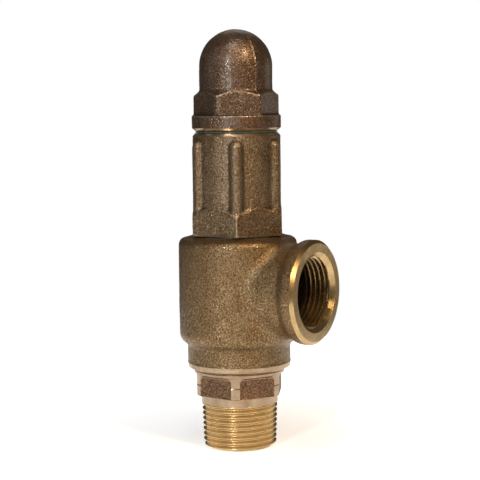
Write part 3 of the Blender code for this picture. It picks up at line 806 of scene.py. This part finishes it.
def make_nozzle():
    nozzle = revolve(nozzle_outline, nozzle_angles())
    for polygon in nozzle.data.polygons:
        centre = polygon.center / MM
        if centre.z < INLET_THREAD_TOP:
            polygon.material_index = INSIDE
        elif HEX_BOTTOM < centre.z < PATCH_TOP and centre.xy.length > NOZZLE_NECK_RADIUS + 0.5:
            if patch_depth(atan2(centre.y, centre.x), centre.z) > 0.1:
                polygon.material_index = CAST
    finishes = [HEX_CAST, TURNED_NOZZLE, TURNED_THREAD]
    add_piece(nozzle, "seat_nozzle_turned", "valve_body", finishes, "seat_nozzle")
    make_gasket("nozzle_gasket", "valve_body", NOZZLE_SHANK_RADIUS + GAP + 0.2)


# Bonnet

BONNET_SHANK_RADIUS = MOUTH_RADIUS - GAP
BONNET_BOTTOM = BODY_TOP + GAP
BONNET_HEX = 39.3
BONNET_HEX_TOP = 107.6
BONNET_HEX_SLOPE = 0.85
BONNET_RADIUS = 19.5
BONNET_TOP = 140.2
BONNET_TOP_RADIUS = 18.35
BONNET_CHAMFER = 1.3
RIB_RADIUS = 3.1
RIB_CENTRE = 18.8
RIB_TOP = 137.4
CHAMBER_RADIUS = 14.0
CHAMBER_BOTTOM = 92.0
CHAMBER_TOP = 138.0
GUIDE_POCKET_RADIUS = 15.0
CAP_THREAD_RADIUS = 14.6
SCREW_HOLE_RADIUS = 6.3
BONNET_NECK_RADIUS = 17.0
BONNET_FOOT_RADIUS = 22.3
RIB_MIDDLE = 120.0
RIB_STEPS = 16
BONNET_SIDES = 6 * 48


def rib_surface(angle, height):
    """Radius of the bonnet's wall: a cylinder with a round-topped rib in line with each hexagon corner."""
    above = max(0.0, height - (RIB_TOP - RIB_RADIUS))
    offset = (angle + pi / 6) % (pi / 3) - pi / 6
    inside = RIB_RADIUS**2 - above**2 - (RIB_CENTRE * sin(offset)) ** 2
    if inside <= 0:
        return BONNET_RADIUS
    return max(BONNET_RADIUS, RIB_CENTRE * cos(offset) + sqrt(inside))


def bonnet_skin(angle):
    """The bonnet's casting before any cutting: a hexagon below a ribbed cylinder."""
    side = side_radius(angle, BONNET_HEX)
    wall = rib_surface(angle, BONNET_HEX_TOP)
    slope = [(r, BONNET_HEX_TOP - BONNET_HEX_SLOPE * (r - BONNET_RADIUS)) for r in (side, wall)]
    rib_heights = [BONNET_HEX_TOP, RIB_MIDDLE]
    rib_heights += [RIB_TOP - RIB_RADIUS * (1 - sin(pi / 2 * k / RIB_STEPS)) for k in range(RIB_STEPS + 1)]
    return (
        [(0, BONNET_BOTTOM - 3), (BONNET_NECK_RADIUS, BONNET_BOTTOM - 3), (BONNET_NECK_RADIUS, BONNET_BOTTOM)]
        + [(min(side, BONNET_FOOT_RADIUS), BONNET_BOTTOM), (side, BONNET_BOTTOM + 0.4)]
        + slope
        + [(rib_surface(angle, z), z) for z in rib_heights]
        + [(BONNET_RADIUS, BONNET_TOP + 1), (0, BONNET_TOP + 1)]
    )


def bonnet_core(angle):
    """What the lathe leaves above and below the casting: the cap's thread and the shank in the body."""
    start, end = BONNET_TOP + 0.9, CAP_THREAD_TOP - 0.6
    root = CAP_THREAD_RADIUS - FINE_DEPTH
    return (
        [(0, BONNET_SHANK_BOTTOM), (BONNET_SHANK_RADIUS - 0.5, BONNET_SHANK_BOTTOM)]
        + [(BONNET_SHANK_RADIUS, BONNET_SHANK_BOTTOM + 0.5), (BONNET_SHANK_RADIUS, BONNET_BOTTOM + 3)]
        + [(root, BONNET_BOTTOM + 5)]
        + fine_thread(angle, start, end, CAP_THREAD_RADIUS, root)
        + [(root - 0.5, CAP_THREAD_TOP), (0, CAP_THREAD_TOP)]
    )


def make_bonnet():
    bonnet = revolve(bonnet_skin, even_angles(BONNET_SIDES), CAST)
    cast_skin(bonnet, voxel=0.45, rounds=6)
    roughen(bonnet, seed=2)
    collar = BONNET_TOP - BONNET_CHAMFER
    slope = (BONNET_RADIUS - BONNET_TOP_RADIUS) / BONNET_CHAMFER
    top = [
        (0, BONNET_TOP),
        (BONNET_TOP_RADIUS, BONNET_TOP),
        (BONNET_RADIUS + slope, collar - 1),
        (BONNET_RADIUS + CLEAR, collar + 2),
        (BONNET_RADIUS + CLEAR, BONNET_TOP + CLEAR),
        (0, BONNET_TOP + CLEAR),
    ]
    cut(bonnet, turned(top, EDGE_SIDES))
    foot = [(0, BONNET_BOTTOM - CLEAR), (0, BONNET_BOTTOM), (30, BONNET_BOTTOM), (30, BONNET_BOTTOM - CLEAR)]
    cut(bonnet, turned(foot))
    combine(bonnet, revolve(bonnet_core, even_angles(BODY_SIDES)), "UNION")
    chamber = [
        (0, BONNET_SHANK_BOTTOM - CLEAR),
        (GUIDE_POCKET_RADIUS, BONNET_SHANK_BOTTOM - CLEAR),
        (GUIDE_POCKET_RADIUS, CHAMBER_BOTTOM),
        (CHAMBER_RADIUS, CHAMBER_BOTTOM),
        (CHAMBER_RADIUS, CHAMBER_TOP),
        (SCREW_HOLE_RADIUS, CHAMBER_TOP),
        (SCREW_HOLE_RADIUS, CAP_THREAD_TOP - 0.6),
        (SCREW_HOLE_RADIUS + 0.9, CAP_THREAD_TOP + 0.3),
        (SCREW_HOLE_RADIUS + 0.9, CAP_THREAD_TOP + CLEAR),
        (0, CAP_THREAD_TOP + CLEAR),
    ]
    cut(bonnet, turned(chamber, 128))
    add_piece(bonnet, "bonnet_casting", "valve_body", [BONNET_CAST, TURNED_UP], "bonnet")
    make_gasket("bonnet_gasket", "valve_body", MOUTH_RADIUS + 0.2)


# Cap

CAP_BOTTOM_RADIUS = 18.4
CAP_RING_RADIUS = 19.75
CAP_RING_BOTTOM = 142.6
CAP_RING_TOP = 148.0
CAP_HEX = 33.5
CAP_TURNED = 18.9
CAP_CORNER = radians(-26.1)
CAP_NECK_HEIGHT = 158.8
CAP_HEX_SLOPE = 0.8
DOME_RADIUS = 16.2
DOME_CENTRE = DOME_TOP - DOME_RADIUS
CAP_WALL = 3.4
CAP_SIDES = 6 * 40


def cap_skin(angle):
    """The cap's casting before any cutting: a ring, a hexagon with turned corners and a dome."""
    side = min(side_radius(angle, CAP_HEX, CAP_CORNER), CAP_TURNED)
    return (
        [(0, CAP_BOTTOM - 2), (CAP_RING_RADIUS, CAP_BOTTOM - 2), (CAP_RING_RADIUS, CAP_RING_TOP)]
        + [(side, CAP_RING_TOP), (side, CAP_NECK_HEIGHT - CAP_HEX_SLOPE * (side - DOME_RADIUS))]
        + [(DOME_RADIUS, CAP_NECK_HEIGHT)]
        + arc(0, DOME_CENTRE, DOME_RADIUS, 0, 90, 24)[:-1]
        + [(0, DOME_TOP)]
    )


def parting_line(point):
    """A thin ridge up the cap where the mould's two halves met, in line with two hexagon corners."""
    if point.z < CAP_RING_TOP:
        return 0.0
    across = point.x * sin(CAP_CORNER) - point.y * cos(CAP_CORNER)
    return 0.3 * exp(-((across / 0.5) ** 2)) * clamp((DOME_TOP - 0.4 - point.z) / 3)


def cap_bore(angle):
    start, end = BONNET_TOP + 0.9 + FINE_PITCH, CAP_THREAD_TOP + 0.2
    crest, inner = CAP_THREAD_RADIUS + GAP, DOME_RADIUS - CAP_WALL
    return (
        [(0, CAP_BOTTOM - CLEAR), (crest + 0.6, CAP_BOTTOM - CLEAR), (crest + 0.6, CAP_BOTTOM)]
        + fine_thread(angle, start, end, crest, crest - 0.1)
        + [(inner, CAP_THREAD_TOP + 2.5)]
        + arc(0, DOME_CENTRE, inner, 0, 90, 16)[:-1]
        + [(0, DOME_CENTRE + inner)]
    )


def make_cap():
    cap = revolve(cap_skin, even_angles(CAP_SIDES, CAP_CORNER), CAST)
    cast_skin(cap, voxel=0.42, rounds=6)
    roughen(cap, seed=3, extra=parting_line)
    foot = [
        (0, CAP_BOTTOM),
        (CAP_BOTTOM_RADIUS, CAP_BOTTOM),
        (CAP_RING_RADIUS, CAP_RING_BOTTOM),
        (CAP_RING_RADIUS + 4, CAP_RING_BOTTOM + 3.5),
        (CAP_RING_RADIUS + 4, CAP_BOTTOM - CLEAR),
        (0, CAP_BOTTOM - CLEAR),
    ]
    cut(cap, turned(foot, EDGE_SIDES))
    cut(cap, revolve(cap_bore, even_angles(BODY_SIDES)))
    add_piece(cap, "cap_casting", "screw_cap", [CAP_CAST, TURNED_UP], "cap")
    make_gasket("cap_gasket", "gasket_ring", CAP_THREAD_RADIUS + GAP + 0.1)


# Pieces inside

STEM_RADIUS = 3.5
STEM_HOLE_RADIUS = 3.9
HOLDER_RADIUS = 15.2
HOLDER_RECESS_RADIUS = 14.1
SPRING_PILOT_RADIUS = 9.2
SPRING_PILOT_HEIGHT = 3.0
SPRING_SEAT_RADIUS = 13.2
SPRING_SEAT_FACE = 7.0
SPRING_RADIUS = 11.2
SPRING_WIRE_RADIUS = 1.6
SPRING_TURNS = 5
SPRING_END_TURNS = 0.75
SCREW_RADIUS = 6.0
SCREW_SHANK_TOP = 163.0
SCREW_BORE_TOP = 150.0
SCREW_SQUARE = 7.0
NUT_FACE_RADIUS = 9.3
GUIDE_HUB_RADIUS = 6.5
GUIDE_PLATE_BOTTOM, GUIDE_PLATE_TOP = 88.0, 91.7
VENT_COUNT, VENT_RADIUS, VENT_CIRCLE = 4, 1.6, 10.6
HOLDER_HUB_RADIUS, HOLDER_HUB_BOTTOM, HOLDER_RIM_TOP = 8.0, 62.0, 58.5
BALL_SOCKET_BOTTOM = 62.3
CLIP_GROOVE_BOTTOM, CLIP_GROOVE_RADIUS, CLIP_GROOVE_WIDTH = 71.1, 5.3, 1.6
RETAINER_RADIUS = 9.0
TAPPED_RADIUS, TAPPED_DEPTH = 2.2, 2.8
SCREW_CLEARANCE_RADIUS = 2.3
STEM_HEAD_RADIUS = 4.0
STEM_GROOVE_RADIUS = 2.8


def make_turned(node, finish, body, material, outline):
    """A piece with the same outline all round, named after its CAD node and how it was made."""
    return add_piece(turned(eased(outline, 0.2)), f"{node}_{finish}", body, [material], node)


def make_guide():
    bottom, top = span("stem_guide")
    plate = high("stem_guide", 1)
    outline = [
        (STEM_HOLE_RADIUS, bottom),
        (GUIDE_HUB_RADIUS, bottom),
        (GUIDE_HUB_RADIUS + 0.5, GUIDE_PLATE_BOTTOM),
        (plate, GUIDE_PLATE_BOTTOM),
        (plate, GUIDE_PLATE_TOP),
        (GUIDE_HUB_RADIUS, GUIDE_PLATE_TOP),
        (GUIDE_HUB_RADIUS - 0.5, top),
        (STEM_HOLE_RADIUS, top),
    ]
    guide = turned(eased(outline))
    first, last = GUIDE_PLATE_BOTTOM - 8, GUIDE_PLATE_TOP + 8.3
    for k in range(VENT_COUNT):
        vent = turned([(0, first), (VENT_RADIUS, first), (VENT_RADIUS, last), (0, last)], 32)
        around = Matrix.Rotation(TURN * (k + 0.5) / VENT_COUNT, 4, "Z")
        vent.matrix_world = around @ Matrix.Translation((VENT_CIRCLE * MM, 0, 0))
        cut(guide, vent)
    add_piece(guide, "stem_guide_turned", "valve_body", [TURNED_BRASS], "stem_guide")


def coil(name, first_turn, last_turn):
    """Round wire along part of the spring's helix, whose end coils lie nearly flat on the two seats."""
    first = low("spring") + SPRING_WIRE_RADIUS
    last = high("spring") - SPRING_WIRE_RADIUS
    end_rise = SPRING_END_TURNS * (2 * SPRING_WIRE_RADIUS + GAP)
    pitch = (last - first - 2 * end_rise) / (SPRING_TURNS - 2 * SPRING_END_TURNS)
    count, sides = round(56 * (last_turn - first_turn)), 20

    def path(turn):
        middle = min(max(turn, SPRING_END_TURNS), SPRING_TURNS - SPRING_END_TURNS) - SPRING_END_TURNS
        height = first + middle * pitch + (turn - middle) / SPRING_END_TURNS * end_rise
        return Vector((SPRING_RADIUS * cos(turn * TURN), SPRING_RADIUS * sin(turn * TURN), height))

    verts = []
    for i in range(count + 1):
        turn = first_turn + (last_turn - first_turn) * i / count
        centre = path(turn)
        outward = Vector((cos(turn * TURN), sin(turn * TURN), 0))
        across = (path(turn + 0.01) - path(turn - 0.01)).normalized().cross(outward)
        for k in range(sides):
            a = TURN * k / sides
            verts.append((centre + (outward * cos(a) + across * sin(a)) * SPRING_WIRE_RADIUS) * MM)
    faces = [
        (i * sides + k, i * sides + (k + 1) % sides, (i + 1) * sides + (k + 1) % sides, (i + 1) * sides + k)
        for i in range(count)
        for k in range(sides)
    ]
    faces += [tuple(reversed(range(sides))), tuple(range(count * sides, (count + 1) * sides))]
    data = solid_mesh(name, verts, faces)
    data.materials.append(SPRING_STEEL)
    data.shade_smooth()
    data.set_sharp_from_angle(angle=radians(50))
    obj = add_object(name, data)
    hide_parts("spring")
    return obj, path(first_turn) * MM, path(last_turn) * MM


def make_spring():
    """Two halves of one spring, which meet at mid-height."""
    lower, start, end = coil("spring_lower_coils", 0, SPRING_TURNS / 2)
    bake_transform(lower)
    upper, start, end = coil("spring_upper_coils", SPRING_TURNS / 2, SPRING_TURNS)
    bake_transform(upper)


def make_disc():
    bottom, top = span("disc_holder")
    hub, hole, groove = HOLDER_HUB_RADIUS, STEM_HOLE_RADIUS + 0.4, CLIP_GROOVE_BOTTOM
    recess_top = high("disc_insert") + GAP
    holder = [
        (0, BALL_SOCKET_BOTTOM),
        (hole, BALL_SOCKET_BOTTOM),
        (hole, groove),
        (CLIP_GROOVE_RADIUS, groove),
        (CLIP_GROOVE_RADIUS, groove + CLIP_GROOVE_WIDTH),
        (hole, groove + CLIP_GROOVE_WIDTH),
        (hole, top),
        (hub - 0.8, top),
        (hub, top - 0.8),
        (hub, HOLDER_HUB_BOTTOM),
        (HOLDER_RADIUS, HOLDER_RIM_TOP),
        (HOLDER_RADIUS, bottom),
        (HOLDER_RECESS_RADIUS, bottom),
        (HOLDER_RECESS_RADIUS, recess_top),
        (TAPPED_RADIUS, recess_top),
        (TAPPED_RADIUS, recess_top + TAPPED_DEPTH),
        (0, recess_top + TAPPED_DEPTH),
    ]
    make_turned("disc_holder", "turned", "disc_and_stem", TURNED_BRASS, holder)
    bottom, top = span("disc_insert")
    hole, edge = SCREW_CLEARANCE_RADIUS, HOLDER_RECESS_RADIUS - GAP
    insert = [(hole, bottom), (edge, bottom), (edge, top), (hole, top)]
    make_turned("disc_insert", "moulded", "disc_and_stem", SOFT_SEAT, insert)
    bottom, top = span("disc_retainer")
    edge = RETAINER_RADIUS
    plate = [(hole, bottom), (edge - 0.6, bottom), (edge, bottom + 0.6), (edge, top), (hole, top)]
    make_turned("disc_retainer", "turned", "disc_and_stem", STAINLESS, plate)
    screw = revolve(retainer_screw, even_angles(SIDES))
    add_piece(screw, "retainer_screw_turned", "disc_and_stem", [STAINLESS], "retainer_screw")
    bottom, top = span("pivot_ball")
    radius = (top - bottom) / 2
    middle = bottom + radius
    ball = [(0, middle - radius)] + arc(0, middle, radius, -90, 90, 32)[1:-1] + [(0, middle + radius)]
    add_piece(turned(ball, 64), "pivot_ball_ground", "disc_and_stem", [BALL_STEEL], "pivot_ball")
    make_clip("stem_retaining_ring", STEM_RADIUS + 0.4, 5.0)


def retainer_screw(angle):
    """A button head below, with a hexagon socket in it, and a short shank."""
    bottom, top = span("retainer_screw")
    key = side_radius(angle, 2.5)
    return [
        (0, bottom + 0.9),
        (key, bottom + 0.9),
        (key, bottom + 0.1),
        (key + 0.1, bottom),
        (2.9, bottom),
        (3.2, bottom + 0.2),
        (3.4, bottom + 0.5),
        (3.4, bottom + 1.5),
        (3.3, bottom + 1.6),
        (1.9, bottom + 1.6),
        (1.9, top - 0.5),
        (1.4, top),
        (0, top),
    ]


def make_clip(node, inner, outer):
    """A snap ring with a gap for the pliers."""
    bottom, top = span(node)
    ring = turned(eased([(inner, bottom), (outer, bottom), (outer, top), (inner, top)], 0.12))
    gap = turned([(0, bottom - 1), (1.7, bottom - 1), (1.7, top + 1), (0, top + 1)], 4)
    gap.matrix_world = Matrix.Translation(((inner + outer) / 2 * MM, 0, 0)) @ Matrix.Rotation(pi / 4, 4, "Z")
    cut(ring, gap)
    add_piece(ring, f"{node}_sprung", "disc_and_stem", [SPRING_STEEL], node)


def make_stem():
    bottom, top = span("stem")
    seat = low("lower_spring_seat")
    stem = [
        (0, bottom),
        (STEM_RADIUS, bottom),
        (STEM_HEAD_RADIUS, bottom + 0.5),
        (STEM_HEAD_RADIUS, bottom + 1.9),
        (STEM_RADIUS, bottom + 1.9),
        (STEM_RADIUS, seat - 1.7),
        (STEM_GROOVE_RADIUS, seat - 1.7),
        (STEM_GROOVE_RADIUS, seat),
        (STEM_RADIUS, seat),
        (STEM_RADIUS, top - 0.8),
        (STEM_RADIUS - 0.8, top),
        (0, top),
    ]
    make_turned("stem", "ground", "disc_and_stem", STAINLESS, stem)
    make_clip("spring_seat_circlip", STEM_GROOVE_RADIUS + GAP, 5.2)
    top = high("lower_spring_seat")
    rim = top - SPRING_PILOT_HEIGHT
    lower_seat = [
        (STEM_HOLE_RADIUS, seat),
        (SPRING_SEAT_FACE, seat),
        (SPRING_SEAT_RADIUS, seat + 1.0),
        (SPRING_SEAT_RADIUS, rim),
        (SPRING_PILOT_RADIUS, rim),
        (SPRING_PILOT_RADIUS - 0.8, top),
        (STEM_HOLE_RADIUS, top),
    ]
    make_turned("lower_spring_seat", "plated", "disc_and_stem", ZINC, lower_seat)


def make_adjuster():
    bottom, top = span("upper_spring_seat")
    rim = bottom + SPRING_PILOT_HEIGHT
    upper_seat = [
        (STEM_HOLE_RADIUS, bottom),
        (SPRING_PILOT_RADIUS - 0.8, bottom),
        (SPRING_PILOT_RADIUS, rim),
        (SPRING_SEAT_RADIUS, rim),
        (SPRING_SEAT_RADIUS, top - 1.5),
        (SPRING_SEAT_FACE, top),
        (STEM_HOLE_RADIUS, top),
    ]
    make_turned("upper_spring_seat", "plated", "upper_seat", ZINC, upper_seat)
    screw = revolve(adjusting_screw, even_angles(SIDES))
    add_piece(screw, "adjusting_screw_threaded", "set_screw", [TURNED_BRASS], "adjusting_screw")
    bottom, top = span("lock_washer")
    hole, edge = SCREW_RADIUS + GAP, high("lock_washer", 1)
    washer = [(hole, bottom), (edge, bottom), (edge, top), (hole, top)]
    make_turned("lock_washer", "pressed", "nut_washer", ZINC, washer)
    nut = revolve(lock_nut, even_angles(SIDES))
    add_piece(nut, "lock_nut_threaded", "nut", [TURNED_BRASS], "lock_nut")


def adjusting_screw(angle):
    """A threaded tube that the stem slides in, with a square on top for the wrench."""
    bottom, top = span("adjusting_screw")
    root = SCREW_RADIUS - FINE_DEPTH
    square = side_radius(angle, SCREW_SQUARE, sides=4)
    return (
        [(0, SCREW_BORE_TOP), (STEM_HOLE_RADIUS, SCREW_BORE_TOP - 1), (STEM_HOLE_RADIUS, bottom + 0.3)]
        + [(STEM_HOLE_RADIUS + 0.3, bottom), (root - 0.3, bottom)]
        + fine_thread(angle, bottom + 0.3, SCREW_SHANK_TOP - 0.3, SCREW_RADIUS, root)
        + [(root - 0.1, SCREW_SHANK_TOP), (square, SCREW_SHANK_TOP), (square, top - 0.6)]
        + [(square - 0.2, top - 0.2), (square - 0.6, top), (0, top)]
    )


def lock_nut(angle):
    """A hexagon nut, chamfered on both sides."""
    bottom, top = span("lock_nut")
    hole = SCREW_RADIUS + GAP
    side = side_radius(angle, 2 * NUT_FACE_RADIUS + 0.4)
    drop = (side - NUT_FACE_RADIUS) * 0.58
    thread = fine_thread(angle, bottom + 0.7, top - 0.7, hole + FINE_DEPTH, hole)
    return (
        [(hole + 0.7, bottom), (NUT_FACE_RADIUS, bottom), (side, bottom + drop), (side, top - drop)]
        + [(NUT_FACE_RADIUS, top), (hole + 0.7, top)]
        + thread[::-1]
    )


make_body()
make_nozzle()
make_bonnet()
make_cap()
make_guide()
make_spring()
make_disc()
make_stem()
make_adjuster()


# Stage, lights and camera

FLOOR_RADIUS = 0.3
LIGHT_AIM = Vector((0, 0, 0.09))

CAMERA_AZIMUTH = 30.8
CAMERA_ELEVATION = 5.6
CAMERA_DISTANCE = 0.6457
CAMERA_LENS = 108.75
CAMERA_ROLL = 0.72
AIM_HEIGHT = 0.09256
AIM_ASIDE = 0.00098


def make_stage():
    """A pale round table top for the valve to stand on; it glows as painted light, weaker at the centre and
    full at its rim, so that it fades into the white background.
    """
    mesh = bmesh.new()
    bmesh.ops.create_circle(mesh, cap_ends=True, segments=96, radius=FLOOR_RADIUS)
    data = bpy.data.meshes.new("table_top")
    mesh.to_mesh(data)
    mesh.free()
    paper = Finish("table_paper", 0.0, 0.8)
    paper.feed("Base Color", paper.mix(paper.noise(40.0), (0.8, 0.8, 0.8), (0.83, 0.83, 0.83)))
    socket(paper.shader, "Emission Color", (1.0, 1.0, 1.0, 1.0))
    centre = paper.node("VectorMath", {0: paper.place}, operation="LENGTH").outputs["Value"]
    # Painted light: the paper glows, from 0.54 near the centre up to 1.0 from 0.2 m out.
    paper.feed("Emission Strength", paper.spread(centre, 0.03, 0.2, 0.54, 1.0))
    data.materials.append(paper.material)
    add_object("table_top", data)


def direction(azimuth, elevation):
    """From the valve outwards, with an azimuth of 0 towards -Y and 90 towards +X."""
    a, e = radians(azimuth), radians(elevation)
    return Vector((sin(a) * cos(e), -cos(a) * cos(e), sin(e)))


def add_light(name, azimuth, elevation, distance, size, power, colour):
    """A flat rectangular light that faces the valve."""
    outward = direction(azimuth, elevation)
    data = bpy.data.lights.new(name, "AREA")
    data.shape = "RECTANGLE"
    data.size, data.size_y = size
    data.energy = power
    data.color = colour
    lamp = add_object(name, data)
    lamp.location = LIGHT_AIM + outward * distance
    lamp.rotation_euler = outward.to_track_quat("Z", "Y").to_euler()


def make_camera():
    back = direction(CAMERA_AZIMUTH, CAMERA_ELEVATION)
    right = direction(CAMERA_AZIMUTH + 90, 0)
    data = bpy.data.cameras.new("camera")
    data.sensor_width = 36.0
    data.lens = CAMERA_LENS
    camera = add_object("camera", data)
    aim = Vector((0, 0, AIM_HEIGHT)) + right * AIM_ASIDE
    upright = back.to_track_quat("Z", "Y").to_matrix().to_4x4()
    roll = Matrix.Rotation(radians(-CAMERA_ROLL), 4, "Z")
    camera.matrix_world = Matrix.Translation(aim + back * CAMERA_DISTANCE) @ upright @ roll
    bpy.context.scene.camera = camera


def make_world():
    """White where the camera looks past the floor, and a dim warm room for everything else."""
    world = bpy.data.worlds.new("studio")
    world.use_nodes = True
    nodes, links = world.node_tree.nodes, world.node_tree.links
    room, white = nodes["Background"], nodes.new("ShaderNodeBackground")
    socket(room, "Color", (1.0, 0.85, 0.66, 1.0))
    socket(room, "Strength", 0.09)
    socket(white, "Color", (1.0, 1.0, 1.0, 1.0))
    choice = nodes.new("ShaderNodeMixShader")
    links.new(nodes.new("ShaderNodeLightPath").outputs["Is Camera Ray"], choice.inputs[0])
    links.new(room.outputs[0], choice.inputs[1])
    links.new(white.outputs[0], choice.inputs[2])
    links.new(choice.outputs[0], nodes["World Output"].inputs[0])
    bpy.context.scene.world = world


make_stage()
make_camera()
make_world()
add_light("key_left", 7, 18, 1.1, (0.09, 0.72), 5.5, (0.92, 0.96, 1.0))
add_light("side_left", -55, 15, 1.2, (0.4, 0.9), 0.7, (0.95, 0.97, 1.0))
add_light("warm_right", 66, 38, 1.0, (0.12, 0.55), 6.5, (1.0, 0.72, 0.42))
add_light("front_soft", 25, 35, 1.3, (0.8, 0.6), 0.6, (1.0, 0.92, 0.82))
add_light("top_soft", 16, 66, 1.2, (0.35, 0.35), 2.6, (0.98, 0.98, 1.0))
add_light("back_high", 208, 40, 1.2, (0.5, 0.3), 0.5, (1.0, 0.97, 0.93))
add_light("outlet_card", 150, 4, 0.8, (0.3, 0.3), 0.26, (1.0, 0.93, 0.8))

bpy.context.scene.view_settings.view_transform = "Standard"
